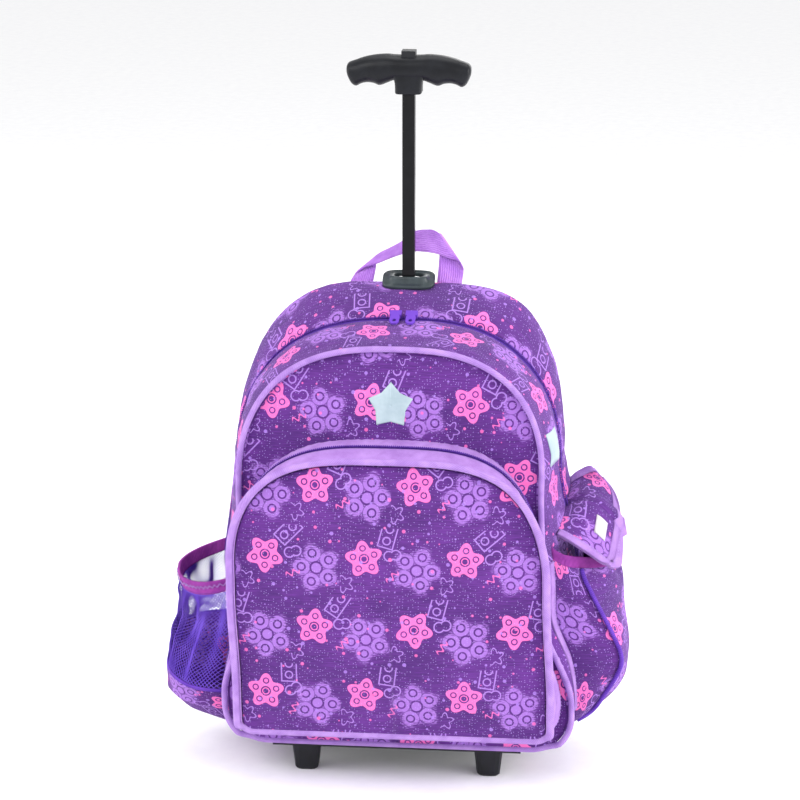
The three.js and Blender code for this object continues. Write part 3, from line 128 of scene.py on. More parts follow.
class Graph:
    """A material's node tree with short calls for its nodes."""

    def __init__(self, name, roughness=0.8, metallic=0.0, sheen=0.0, sheen_tint=(1, 1, 1), specular=0.5):
        self.material = bpy.data.materials.new(name)
        self.material.use_nodes = True
        self.tree = self.material.node_tree
        self.shader = self.tree.nodes["Principled BSDF"]
        self.shader.inputs["Roughness"].default_value = roughness
        self.shader.inputs["Metallic"].default_value = metallic
        self.shader.inputs["Sheen Weight"].default_value = sheen
        self.shader.inputs["Sheen Roughness"].default_value = 0.45
        self.shader.inputs["Sheen Tint"].default_value = (*sheen_tint, 1)
        self.shader.inputs["Specular IOR Level"].default_value = specular

    def put(self, socket, value):
        if isinstance(value, Value):
            self.tree.links.new(value.socket, socket)
        elif isinstance(value, bpy.types.NodeSocket):
            self.tree.links.new(value, socket)
        else:
            socket.default_value = value

    def math(self, operation, *values):
        node = self.tree.nodes.new("ShaderNodeMath")
        node.operation = operation
        for socket, value in zip(node.inputs, values):
            self.put(socket, value)
        return Value(self, node.outputs[0])

    def uv(self):
        """The piece's own map, in millimetres."""
        node = self.tree.nodes.new("ShaderNodeUVMap")
        node.uv_map = "map"
        parts = self.tree.nodes.new("ShaderNodeSeparateXYZ")
        self.tree.links.new(node.outputs[0], parts.inputs[0])
        return Value(self, parts.outputs[0]) * 1000, Value(self, parts.outputs[1]) * 1000

    def position(self):
        node = self.tree.nodes.new("ShaderNodeTexCoord")
        parts = self.tree.nodes.new("ShaderNodeSeparateXYZ")
        self.tree.links.new(node.outputs["Object"], parts.inputs[0])
        return [Value(self, parts.outputs[k]) * 1000 for k in range(3)]

    def vector(self, x, y, z=0.0):
        node = self.tree.nodes.new("ShaderNodeCombineXYZ")
        for socket, value in zip(node.inputs, (x, y, z)):
            self.put(socket, value)
        return node.outputs[0]

    def noise(self, vector, scale=1.0, detail=2.0, rough=0.5):
        node = self.tree.nodes.new("ShaderNodeTexNoise")
        self.tree.links.new(vector, node.inputs["Vector"])
        node.inputs["Scale"].default_value = scale
        node.inputs["Detail"].default_value = detail
        node.inputs["Roughness"].default_value = rough
        return Value(self, node.outputs[0])

    def white(self, vector):
        node = self.tree.nodes.new("ShaderNodeTexWhiteNoise")
        node.noise_dimensions = "3D"
        self.tree.links.new(vector, node.inputs["Vector"])
        return Value(self, node.outputs["Value"])

    def cells(self, vector, scale):
        """Distance to the nearest cell's centre, and two random numbers for that cell."""
        node = self.tree.nodes.new("ShaderNodeTexVoronoi")
        node.voronoi_dimensions = "2D"
        self.tree.links.new(vector, node.inputs["Vector"])
        node.inputs["Scale"].default_value = scale
        parts = self.tree.nodes.new("ShaderNodeSeparateColor")
        self.tree.links.new(node.outputs["Color"], parts.inputs[0])
        sockets = (node.outputs["Distance"], parts.outputs[0], parts.outputs[1])
        return [Value(self, socket) for socket in sockets]

    def step(self, value, start, end):
        node = self.tree.nodes.new("ShaderNodeMapRange")
        node.interpolation_type = "SMOOTHSTEP"
        for socket, number in zip(node.inputs, (value, start, end, 0.0, 1.0)):
            self.put(socket, number)
        return Value(self, node.outputs[0])

    def mix(self, share, a, b):
        node = self.tree.nodes.new("ShaderNodeMix")
        node.data_type = "RGBA"
        self.put(node.inputs[0], share)
        for socket, colour in ((node.inputs[6], a), (node.inputs[7], b)):
            self.put(socket, (*colour, 1) if isinstance(colour, tuple) else colour)
        return node.outputs[2]

    def hypot(self, x, y):
        return self.math("SQRT", x * x + y * y)

    def turn(self, x, y, angle):
        c, s = self.math("COSINE", angle), self.math("SINE", angle)
        return x * c + y * s, y * c - x * s

    def finish(self, colour, height=None, depth=0.3, roughness=None):
        """Sets the colour, and a bump of a height in millimetres."""
        self.put(self.shader.inputs["Base Color"], (*colour, 1) if isinstance(colour, tuple) else colour)
        if height is not None:
            bump = self.tree.nodes.new("ShaderNodeBump")
            bump.inputs["Distance"].default_value = depth * MM
            self.put(bump.inputs["Height"], height)
            self.tree.links.new(bump.outputs[0], self.shader.inputs["Normal"])
        if roughness is not None:
            self.put(self.shader.inputs["Roughness"], roughness)
        return self.material


def srgb(code):
    """A colour written as six hexadecimal digits, made linear."""
    parts = [int(code[k:k + 2], 16) / 255 for k in (0, 2, 4)]
    return tuple(p / 12.92 if p <= 0.04045 else ((p + 0.055) / 1.055) ** 2.4 for p in parts)


def weave_height(g, u, v, pitch):
    """Over and under threads: two crossed waves."""
    k = 2 * math.pi / pitch
    return g.math("SINE", u * k) * g.math("SINE", v * k)


PRINT_WIDTH, PRINT_HEIGHT = 92.0, 66.0


def print_material():
    """Violet cloth printed with pink flowers, large hatched flowers, thin outlines, dots and specks."""
    g = Graph("printed_cloth", roughness=0.72, sheen=0.25, sheen_tint=srgb("c9a8f5"), specular=0.3)
    u, v = g.uv()
    row = g.math("FLOOR", v / PRINT_HEIGHT)
    shifted = u + g.math("FLOORED_MODULO", row, 2.0) * (PRINT_WIDTH / 2)
    column = g.math("FLOOR", shifted / PRINT_WIDTH)
    x = shifted - (column + 0.5) * PRINT_WIDTH
    y = v - (row + 0.5) * PRINT_HEIGHT
    streaks = g.noise(g.vector(u * 0.05, v * 1.1), 1.0, 3.0, 0.6)
    cloudy = g.noise(g.vector(u * 0.012, v * 0.02, 3.0), 1.0, 2.0)
    base = g.mix(g.step(streaks + (cloudy - 0.5) * 0.5, 0.3, 0.72), srgb("421767"), srgb("632a89"))

    def polar(cx, cy, turn, seed):
        spin = g.white(g.vector(column, row, seed)) * 0.9 + turn
        px, py = g.turn(x - cx, y - cy, spin)
        return px, py, g.hypot(px, py), g.math("ARCTAN2", py, px)

    def folded(radius, angle, petals):
        part = 2 * math.pi / petals
        near = g.math("FLOORED_MODULO", angle + part / 2, part) - part / 2
        return radius * g.math("COSINE", near), radius * g.math("SINE", near)

    def line(distance, width=0.45):
        return 1 - g.step(g.math("ABSOLUTE", distance), width, width + 0.35)

    # large flowers filled with broken horizontal hatching
    _, _, hr, ha = polar(24, -6, 0.4, 1.0)
    hatch_edge = 21 + 3.2 * g.math("COSINE", ha * 5)
    torn = g.noise(g.vector(u * 0.16, v * 1.5, 7.0), 1.0, 2.0, 0.55)
    hatch = g.step(torn + (hatch_edge - hr) * 0.03, 0.5, 0.56)
    inside = g.step(hatch_edge - hr, -2.5, 1.5)
    fx, fy = folded(hr, ha, 5)
    rings = g.math("MAXIMUM", line(hr - 5.5, 0.7), line(g.hypot(fx - 14, fy) - 3.6, 0.6))
    petals = line(g.hypot(fx - 14, fy) - 8.5, 0.4)
    big = inside * hatch * (1 - rings) * (1 - petals * 0.7)
    colour = g.mix(big * 0.8, base, srgb("a875d2"))
    # thin outlines: an oblong with two rings, two rings that join, and a small five-pointed one
    qx, qy, _, _ = polar(-2, 27, 0.7, 2.0)
    square = g.math("MAXIMUM", g.math("ABSOLUTE", qx) - 12, g.math("ABSOLUTE", qy) - 7)
    outline = g.math("MAXIMUM", line(square), line(g.hypot(g.math("ABSOLUTE", qx) - 5.5, qy) - 3.4))
    _, _, sr, sa = polar(-42, -20, 0.2, 3.0)
    outline = g.math("MAXIMUM", outline, line(sr - 6.5 - 1.9 * g.math("COSINE", sa * 5)))
    rx, ry, _, _ = polar(2, 8, 0.0, 4.0)
    outline = g.math("MAXIMUM", outline, line(g.hypot(g.math("ABSOLUTE", rx) - 3.2, ry) - 4.6))
    colour = g.mix(outline * 0.8, colour, srgb("ad80d8"))
    # pink flowers with dark rings, and pink squiggles beside them
    _, _, pr, pa = polar(-24, 4, 0.9, 5.0)
    pink_edge = 14.6 + 2.9 * g.math("COSINE", pa * 5)
    pink = g.step(pink_edge - pr, -0.3, 0.3)
    gx, gy = folded(pr, pa, 5)
    dark = g.math("MAXIMUM", line(g.hypot(gx - 10.2, gy) - 2.5), line(pr - 4.2, 0.5))
    dark = g.math("MAXIMUM", dark, 1 - g.step(pr, 2.3, 2.8))
    wave_x, wave_y, _, _ = polar(2, -12, 0.3, 6.0)
    squiggle = line(wave_y - 2.2 * g.math("SINE", wave_x * 0.9), 0.8)
    squiggle = squiggle * (1 - g.step(g.math("ABSOLUTE", wave_x), 6.5, 7.5))
    colour = g.mix(g.math("MAXIMUM", pink * (1 - dark), squiggle * 0.8), colour, srgb("ee6cb8"))
    # dots and specks
    dot_distance, dot_pick, dot_tone = g.cells(g.vector(u, v), 0.075)
    dots = 1 - g.step(dot_distance * 13.3, dot_pick * 1.7, dot_pick * 1.7 + 0.3)
    dots = dots * g.step(dot_pick, 0.25, 0.27)
    colour = g.mix(dots * 0.75, colour, g.mix(g.step(dot_tone, 0.6, 0.62), srgb("a378d6"), srgb("ea68b4")))
    speck_distance, speck_pick, _ = g.cells(g.vector(u, v), 0.42)
    speck = (1 - g.step(speck_distance, 0.1, 0.17)) * g.step(speck_pick, 0.6, 0.62)
    colour = g.mix(speck * 0.8, colour, srgb("b79be6"))
    height = weave_height(g, u, v, 1.1) + 1.6 * g.noise(g.vector(u * 0.25, v * 1.2, 1.0), 1.0, 2.0)
    return g.finish(colour, height, 0.16)


def cloth_material(name, dark, light, pitch=1.4, slant=0.0, sheen=0.3, depth=0.2, rough=0.8):
    """Woven tape or webbing: threads or ribs at a pitch, with some colour variation."""
    g = Graph(name, roughness=rough, sheen=sheen, sheen_tint=light, specular=0.3)
    u, v = g.uv()
    k = 2 * math.pi / pitch
    ribs = g.math("SINE", (u + v * slant) * k)
    cross = g.math("SINE", (v - u * 0.2) * (k * 1.7))
    cloudy = g.noise(g.vector(u * 0.06, v * 0.06, 5.0), 1.0, 3.0, 0.6)
    tone = g.step(cloudy + ribs * 0.1 + cross * 0.05, 0.2, 0.8)
    return g.finish(g.mix(tone, dark, light), ribs + cross * 0.5, depth)


def plastic_material(name, dark, light, roughness=0.45, grain=1.6, metallic=0.0, depth=0.06, specular=0.5):
    """Moulded plastic or coated metal: fine grain and slightly uneven gloss."""
    g = Graph(name, roughness=roughness, metallic=metallic, specular=specular)
    x, y, z = g.position()
    at = g.vector(x, y, z)
    fine = g.noise(at, grain, 2.0)
    broad = g.noise(at, 0.05, 3.0, 0.6)
    return g.finish(
        g.mix(g.step(broad + fine * 0.2, 0.35, 0.85), dark, light), fine, depth,
        g.step(broad, 0.1, 0.9) * 0.16 + (roughness - 0.08),
    )


PRINT = print_material()
LILAC = cloth_material("lilac_trim", srgb("9f72c4"), srgb("c095e0"), 1.3, 1.0, 0.25)
PIPING = cloth_material("piping", srgb("9870c0"), srgb("b992d9"), 2.2, 1.0, 0.3, 0.25)
WEBBING = cloth_material("loop_webbing", srgb("ab6cdc"), srgb("cf96f4"), 1.9, 0.0, 0.35, 0.35)
VIOLET = cloth_material("violet_webbing", srgb("54299c"), srgb("7244c2"), 1.9, 0.0, 0.25, 0.3)
ZIP_TAPE = cloth_material("zip_tape", srgb("45218a"), srgb("6033ac"), 1.1, 0.6, 0.15)
RIM = cloth_material("magenta_rim", srgb("7a2585"), srgb("a43fa6"), 1.6, 0.0, 0.3, 0.3)
NET = cloth_material("violet_net", srgb("5f3ab8"), srgb("8560dc"), 0.9, 0.0, 0.3, 0.1)
AIR_MESH = cloth_material("padded_cloth", srgb("3a1f72"), srgb("55309c"), 2.4, 1.0, 0.2, 0.5)
THREAD_LILAC = cloth_material("thread_lilac", srgb("b08ae4"), srgb("d2b4f6"), 0.8)
THREAD_VIOLET = cloth_material("thread_violet", srgb("5c32a8"), srgb("7d54c8"), 0.8)
SILVER = plastic_material("reflective_print", srgb("93a5ae"), srgb("a9b9c1"), 0.45, 2.5, 0.1)
LABEL = cloth_material("label_cloth", srgb("e8dfe8"), srgb("faf6fa"), 0.8)
BLACK = plastic_material("black_plastic", srgb("0c0d11"), srgb("16181e"), 0.5, specular=0.3)
GRIP_BLACK = plastic_material("grip_plastic", srgb("0a0b10"), srgb("14161c"), 0.42, 1.1, 0.0, 0.1, 0.22)
POLE_BLACK = plastic_material("black_metal", srgb("070709"), srgb("0e0e12"), 0.4, 2.2, specular=0.2)
GREY = plastic_material("grey_plastic", srgb("232a2c"), srgb("374144"), 0.38, specular=0.3)
RUBBER = plastic_material("tyre_rubber", srgb("121214"), srgb("202024"), 0.75, 2.0, 0.0, 0.15)
STEEL = plastic_material("axle_steel", srgb("80848a"), srgb("a8acb2"), 0.3, 3.0, 0.95)
FLOOR = plastic_material("floor_paper", srgb("f6f6f8"), srgb("fbfbfc"), 0.9, 0.02)


# Meshes
def make_mesh(name, points, faces, uvs, material):
    """points in millimetres, faces as index lists, uvs one for each point in millimetres."""
    data = bpy.data.meshes.new(name)
    data.from_pydata([tuple(p) for p in place(points)], [], [tuple(int(k) for k in f) for f in faces])
    layer = data.uv_layers.new(name="map")
    corners = np.empty(len(data.loops), dtype=np.int32)
    data.loops.foreach_get("vertex_index", corners)
    layer.data.foreach_set("uv", (np.asarray(uvs, float)[corners] * MM).astype(np.float32).ravel())
    data.materials.append(material)
    data.polygons.foreach_set("use_smooth", [True] * len(data.polygons))
    data.update()
    obj = bpy.data.objects.new(name, data)
    bpy.context.scene.collection.objects.link(obj)
    return obj


def grid_faces(rows, columns, ring=False, flip=False):
    faces = []
    across = columns if ring else columns - 1
    for j in range(rows - 1):
        for i in range(across):
            a, b = j * columns + i, j * columns + (i + 1) % columns
            quad = (a, b, b + columns, a + columns)
            faces.append(quad[::-1] if flip else quad)
    return faces


def add(obj, slot, *nodes, body=BODY):
    """Rides the piece on its body and hides the nodes that it stands for; its slot is not used."""
    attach(obj, body)
    if nodes:
        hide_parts(*nodes)
    return obj


def capped(faces, count, columns, used):
    """The faces of a grid of closed rows, with one more at each end."""
    faces.append(tuple(range(used))[::-1])
    faces.append(tuple((count - 1) * columns + n for n in range(used)))
    return faces


def facing_away(normal, points, centre):
    """The normals, turned so that taken together they look away from a centre."""
    return normal * np.sign(np.sum(normal * (points - np.array(centre))))


def arc_lengths(path):
    steps = np.linalg.norm(np.diff(path, axis=0), axis=1)
    return np.concatenate([[0], np.cumsum(steps)])


def row_normals(rows, closed):
    """Unit normals of a grid of points."""
    down = np.gradient(rows, axis=0)
    if closed:
        across = (np.roll(rows, -1, axis=1) - np.roll(rows, 1, axis=1)) / 2
    else:
        across = np.gradient(rows, axis=1)
    normal = np.cross(across, down)
    return normal / np.maximum(np.linalg.norm(normal, axis=2, keepdims=True), 1e-9)


def ripple(a, b, seed, size, count=9):
    """Smooth irregular waves over two coordinates, about -1 to 1, of about one size in millimetres."""
    rng = np.random.RandomState(seed)
    total = np.zeros_like(a)
    for _ in range(count):
        turn, phase, k = rng.uniform(0, 2 * math.pi), rng.uniform(0, 2 * math.pi), rng.uniform(0.7, 1.6)
        total += np.sin(2 * math.pi * k / size * (a * math.cos(turn) + b * math.sin(turn)) + phase)
    return total / count * 1.6


def along_path(marks, lengths, values):
    """Rows of values at distances along a path."""
    return np.stack([np.interp(marks, lengths, values[:, k]) for k in range(values.shape[1])], axis=1)


def sheet_piece(name, rows, uvs, material, outward, slot, *nodes, closed=True, wall=1.6):
    """A cloth sheet through rows of points, facing away from a point, with its thickness behind it."""
    count, columns = rows.shape[:2]
    normal = row_normals(rows, False)
    facing = np.sum(normal * (rows - np.asarray(outward, float)))
    if closed:
        rows = np.concatenate([rows, rows[:, :1]], axis=1)
        columns += 1
    obj = make_mesh(
        name, rows.reshape(-1, 3), grid_faces(count, columns, flip=facing > 0), uvs.reshape(-1, 2), material,
    )
    data = obj.data
    flat = np.empty(len(data.polygons) * 3)
    data.polygons.foreach_get("normal", flat)
    centres = np.empty(len(data.polygons) * 3)
    data.polygons.foreach_get("center", centres)
    away = centres.reshape(-1, 3) - place(outward)
    if np.sum(flat.reshape(-1, 3) * away) < 0:
        data.flip_normals()
    modifier = obj.modifiers.new("wall", "SOLIDIFY")
    modifier.thickness = wall * MM
    return add(obj, slot, *nodes)


def tube(name, path, radius, material, slot, *nodes, closed=False, sides=12, up=(0, 1, 0)):
    """A round cord along a path, its map running along it."""
    path = np.asarray(path, float)
    count = len(path)
    if closed:
        ahead = np.roll(path, -1, axis=0) - np.roll(path, 1, axis=0)
    else:
        ahead = np.gradient(path, axis=0)
    ahead /= np.linalg.norm(ahead, axis=1, keepdims=True)
    side = np.array(up, float)
    points, uvs = [], []
    lengths = arc_lengths(np.concatenate([path, path[:1]]) if closed else path)
    total = count + 1 if closed else count
    for k in range(total):
        at, along = path[k % count], ahead[k % count]
        side = side - along * np.dot(side, along)
        side /= np.linalg.norm(side)
        other = np.cross(along, side)
        for n in range(sides + 1):
            angle = 2 * math.pi * n / sides
            points.append(at + radius * (side * math.cos(angle) + other * math.sin(angle)))
            uvs.append((lengths[min(k, len(lengths) - 1)], radius * angle))
    faces = grid_faces(total, sides + 1)
    if not closed:
        capped(faces, total, sides + 1, sides)
    return add(make_mesh(name, points, faces, uvs, material), slot, *nodes)


def ribbon(name, middles, across, facing, width, thick, material, slot, *nodes, edge=0.35):
    """A woven strap: its section is a flat oval of a width and thickness, its map along it and over it."""
    middles = np.asarray(middles, float)
    count = len(middles)
    across = np.broadcast_to(np.asarray(across, float), middles.shape)
    facing = np.broadcast_to(np.asarray(facing, float), middles.shape)
    upper = [(-1, edge), (-0.94, 1), (-0.6, 1), (-0.2, 1), (0.2, 1), (0.6, 1), (0.94, 1), (1, edge)]
    section = upper + [(s, -t) for s, t in upper[::-1]]
    lengths = arc_lengths(middles)
    points, uvs = [], []
    for k in range(count):
        a = across[k] / np.linalg.norm(across[k])
        f = facing[k] - a * np.dot(facing[k], a)
        f /= np.linalg.norm(f)
        for n, (s, t) in enumerate(section + section[:1]):
            points.append(middles[k] + a * s * width / 2 + f * t * thick / 2)
            uvs.append((s * width / 2 + (200 if t < 0 else 0), lengths[k]))
    columns = len(section) + 1
    faces = capped(grid_faces(count, columns), count, columns, columns - 1)
    return add(make_mesh(name, points, faces, uvs, material), slot, *nodes)


def stitches(name, path, normals, material, slot, pitch=3.4, length=2.3, radius=0.34, closed=False, lift=0.1):
    """A row of short threads lying on a surface along a path."""
    path = np.asarray(path, float)
    normals = np.asarray(normals, float)
    if closed:
        path = np.concatenate([path, path[:1]])
        normals = np.concatenate([normals, normals[:1]])
    lengths = arc_lengths(path)
    marks = np.arange(pitch / 2, lengths[-1], pitch)
    start, end = [along_path(marks + shift, lengths, path) for shift in (-length / 2, length / 2)]
    normal = along_path(marks, lengths, normals)
    normal /= np.linalg.norm(normal, axis=1, keepdims=True)
    ahead = end - start
    ahead /= np.maximum(np.linalg.norm(ahead, axis=1, keepdims=True), 1e-9)
    side = np.cross(ahead, normal)
    middle = (start + end) / 2 + normal * (radius * 0.6 + lift)
    points, faces, uvs = [], [], []
    for k in range(len(marks)):
        first = len(points)
        points += [start[k] + normal[k] * lift * 0.2, end[k] + normal[k] * lift * 0.2]
        for turn in range(4):
            angle = math.pi / 2 * turn
            points.append(middle[k] + radius * (side[k] * math.cos(angle) + normal[k] * math.sin(angle)))
        uvs += [(marks[k] + a, b) for a, b in ((0, 0), (2, 0), (1, 0), (1, 1), (1, 2), (1, 3))]
        for turn in range(4):
            a, b = first + 2 + turn, first + 2 + (turn + 1) % 4
            faces += [(first, b, a), (first + 1, a, b)]
    return add(make_mesh(name, points, faces, uvs, material), slot)


# The bag's outlines, seen from the front
WALL, GAP = 2, 0.3
BAG_FLOOR, BACK_HEIGHT, FRONT_HEIGHT, ZIP_HEIGHT = 34, 418, 379, 395
BACK_FACE_Y, ZIP_Y, FRONT_FACE_Y, FRONT_LEAN = 62, 2, -86, 26
BACK_EDGE_ROUND, GUSSET_BULGE, BULGE_START, PANEL_BULGE, SIDE_LEAN, ZIP_HALF_GAP = 9, 3, 60, 5, 6, 5
POCKET_DEPTH, POCKET_ZIP_SHARE, POCKET_ZIP_HALF, POCKET_FACE_BULGE, POCKET_GUSSET_BULGE = 40, 0.42, 3.2, 9, 2
FLOOR_STEPS, CORNER_STEPS, SIDE_STEPS, CROWN_STEPS = 12, 14, 44, 60

# half width, floor, top, share of the height where the crown springs, its exponents up and across,
# flare and the height shares that it lies between, corner share
OUTLINES = {
    "back": (154, 34, 452, 0.65, 1.95, 4.0, 0.105, 0.675, 0.39, 0.09),
    "zip": (153, 34, 429, 0.64, 2.2, 2.6, 0.12, 0.7, 0.34, 0.1),
    "front": (138, 34, 413, 0.7, 2.2, 2.7, 0.17, 0.34, 0.13, 0.1),
    "pocket_back": (134, 45, 333, 0.64, 2.2, 3.2, 0.15, 0.41, 0.13, 0.12),
    "pocket_front": (143.5, 59, 321, 0.6, 2.2, 3.6, 0.0, 0.4, 0.1, 0.05),
}
LEAN_UP = [0, 0.15, 0.4, 0.6, 0.85, 1]
LEAN_SIDE = [0.5, 0.3, -0.5, -1, -0.6, 0.2]


def smooth(share):
    share = np.clip(share, 0, 1)
    return share * share * (3 - 2 * share)


def evenly(points, steps):
    lengths = arc_lengths(points)
    marks = np.linspace(0, lengths[-1], steps + 1)
    return along_path(marks, lengths, points)


def half_outline(half, floor, top, spring, rise, out, flare, flare_from, flare_to, corner):
    height = top - floor
    radius = height * corner
    dense = np.linspace(0, 1, 400)

    def side_at(z):
        share = (floor + height * flare_from - z) / (height * (flare_from - flare_to))
        return half * (1 + flare * smooth(share))

    low = side_at(floor + radius)
    spring_z = floor + height * spring
    turn = dense * math.pi / 2
    parts = [
        (FLOOR_STEPS, dense * (low - radius), np.full_like(dense, floor)),
        (CORNER_STEPS, low - radius + radius * np.sin(turn), floor + radius - radius * np.cos(turn)),
    ]
    z = floor + radius + (spring_z - floor - radius) * dense
    parts.append((SIDE_STEPS, side_at(z), z))
    parts.append((
        CROWN_STEPS, side_at(spring_z) * np.maximum(0, np.cos(turn)) ** (2 / out),
        spring_z + (top - spring_z) * np.sin(turn) ** (2 / rise),
    ))
    pieces = [evenly(np.stack([x, z], axis=1), steps) for steps, x, z in parts]
    return np.concatenate([pieces[0]] + [p[1:] for p in pieces[1:]])


def lean_at(z):
    up = np.clip((z - BAG_FLOOR) / BACK_HEIGHT, 0, 1)
    k = np.clip(np.searchsorted(LEAN_UP, up, side="left"), 1, len(LEAN_UP) - 1)
    low, high = np.array(LEAN_UP)[k - 1], np.array(LEAN_UP)[k]
    a, b = np.array(LEAN_SIDE)[k - 1], np.array(LEAN_SIDE)[k]
    return SIDE_LEAN * (a + (b - a) * smooth((up - low) / (high - low)))


def front_face_at(z):
    return FRONT_FACE_Y + FRONT_LEAN * np.maximum(0, (z - BAG_FLOOR) / FRONT_HEIGHT) ** 3


def ring_of(name, y_at):
    half = half_outline(*OUTLINES[name])
    mirrored = half[1:-1][::-1] * np.array([-1, 1])
    flat = np.concatenate([half, mirrored])
    x, z = flat[:, 0], flat[:, 1]
    return np.stack([x + lean_at(z), np.broadcast_to(y_at(z), z.shape), z], axis=1)


def inward_of(ring):
    before, after = np.roll(ring, 1, axis=0), np.roll(ring, -1, axis=0)
    inward = np.stack([before[:, 2] - after[:, 2], np.zeros(len(ring)), after[:, 0] - before[:, 0]], axis=1)
    return inward / np.linalg.norm(inward, axis=1, keepdims=True)


def inset(ring, distance):
    return ring + inward_of(ring) * np.reshape(distance, (-1, 1))


def between(ring_a, ring_b, share, bulge):
    ring = ring_a + (ring_b - ring_a) * share
    floor = ring[:, 2].min()
    return inset(ring, -bulge * 4 * share * (1 - share) * smooth((ring[:, 2] - floor) / BULGE_START))


def back_by(ring, distance):
    moved = ring.copy()
    moved[:, 1] += distance
    return moved


BACK_RING = ring_of("back", lambda z: BACK_FACE_Y)
ZIP_RING = ring_of("zip", lambda z: ZIP_Y)
FRONT_RING = ring_of("front", front_face_at)
POCKET_FRONT_RING = ring_of("pocket_front", lambda z: front_face_at(z) - POCKET_DEPTH)
POCKET_BACK_RING = ring_of("pocket_back", lambda z: front_face_at(z) + WALL)
POCKET_ZIP_RING = between(POCKET_BACK_RING, POCKET_FRONT_RING, POCKET_ZIP_SHARE, POCKET_GUSSET_BULGE)
RING_COUNT = len(ZIP_RING)
ALONG = arc_lengths(np.concatenate([ZIP_RING, ZIP_RING[:1]]))
POCKET_ALONG = arc_lengths(np.concatenate([POCKET_FRONT_RING, POCKET_FRONT_RING[:1]]))
ZIP_START = FLOOR_STEPS + CORNER_STEPS + SIDE_STEPS // 2
POCKET_ZIP_START = FLOOR_STEPS + CORNER_STEPS + SIDE_STEPS
CENTRE = (0, 0, 240)


def in_zip(start):
    k = np.arange(RING_COUNT)
    edge = np.minimum(k - start, RING_COUNT - start - k)
    return smooth((edge + 1) / 3.0)


MAIN_GAP = GAP / 2 + (ZIP_HALF_GAP - GAP / 2) * in_zip(ZIP_START)
POCKET_GAP = GAP / 2 + (POCKET_ZIP_HALF - GAP / 2) * in_zip(POCKET_ZIP_START)


def uv_rows(rows, along, offset=(0, 0)):
    """A map for rows of rings: along the ring, and down the rows by their true mean spacing."""
    count = rows.shape[0]
    steps = np.linalg.norm(np.diff(rows, axis=0), axis=2).mean(axis=1) if count > 1 else np.zeros(0)
    down = np.concatenate([[0], np.cumsum(steps)])
    u, v = np.meshgrid(along + offset[0], down + offset[1])
    return np.stack([u, v], axis=2)


def soften(rows, u, v, seed, low, fine, pinch, ends=(True, True)):
    """Presses soft waves, small puckers along both seams and a dip beside them into a gusset's rows."""
    normal = row_normals(rows, True)
    if np.sum(normal * (rows - np.array(CENTRE))) < 0:
        normal = -normal
    amount = low * ripple(u, v, seed, 85) + fine * ripple(u, v * 0.6, seed + 1, 26)
    span = v[-1:, :]
    near_start, near_end = np.exp(-v / 5.0), np.exp(-(span - v) / 5.0)
    fade = 1 - np.exp(-v / 7.0) if ends[0] else 1.0
    fade = fade * ((1 - np.exp(-(span - v) / 7.0)) if ends[1] else 1.0)
    pucker = 0.5 * np.sin(u * 2 * math.pi / 9.5 + 1.3 * ripple(u, v, seed + 2, 60))
    amount = amount * fade
    for near, used in ((near_start, ends[0]), (near_end, ends[1])):
        if used:
            amount = amount - pinch * near * 0.5 + pucker * near * (1 - near) * 2
    return rows + normal * amount[..., None]


def gusset(ring_a, ring_b, bulge, steps, gap_a=0.0, gap_b=0.0):
    shares = np.linspace(0, 1, steps + 1)
    rows = np.stack([between(ring_a, ring_b, s, bulge) for s in shares])
    rows[0, :, 1] += gap_a
    rows[-1, :, 1] += gap_b
    rows[:, :, 1] = rows[0:1, :, 1] + (rows[-1:, :, 1] - rows[0:1, :, 1]) * shares[:, None]
    return rows


def panel(ring, outward, bulge, steps, dents, edge_drop=2.2):
    """A panel drawn in from its ring, with a puffed edge, a crown and soft waves; mapped by x and z."""
    low, high = ring.min(axis=0), ring.max(axis=0)
    centre = (low + high) / 2
    shares = 1 - np.linspace(0, 1, steps + 1) ** 1.25
    rows = []
    for share in shares:
        moved = centre + (ring - centre) * share
        lean = (front_face_at(moved[:, 2]) - front_face_at(ring[0, 2])) if outward < 0 else 0
        distance = (1 - share) * np.linalg.norm((ring - centre)[:, [0, 2]], axis=1)
        y = ring[0, 1] + lean + outward * bulge * (1 - share ** 2)
        y = y - outward * edge_drop * np.exp(-distance / 5.0)
        y = y + outward * dents(moved[:, 0], moved[:, 2], distance)
        moved[:, 1] = y
        rows.append(moved)
    rows = np.stack(rows)
    return rows, np.stack([rows[..., 0], rows[..., 2]], axis=2)


def closed_uv(uvs, width=None):
    """Repeats the first column at the end of a closed grid's map, one turn further along."""
    last = uvs[:, :1].copy()
    if width is not None:
        last[..., 0] += width
    return np.concatenate([uvs, last], axis=1)


# Main bag
QUILT_UPRIGHT, QUILT_LEVEL, QUILT_DEPTH, QUILT_ROUND = (-70, 0, 70), (150, 300), 2.6, 4.0
PIPING_RADIUS, POCKET_PIPING_RADIUS, PIPING_SIDES = 2.8, 3.2, 14
TUCK_HEIGHT, TUCK_FADE = 13, 11
TOOTH_PITCH, TOOTH_SPAN, TOOTH_RADIUS = 1.9, 1.75, 0.5


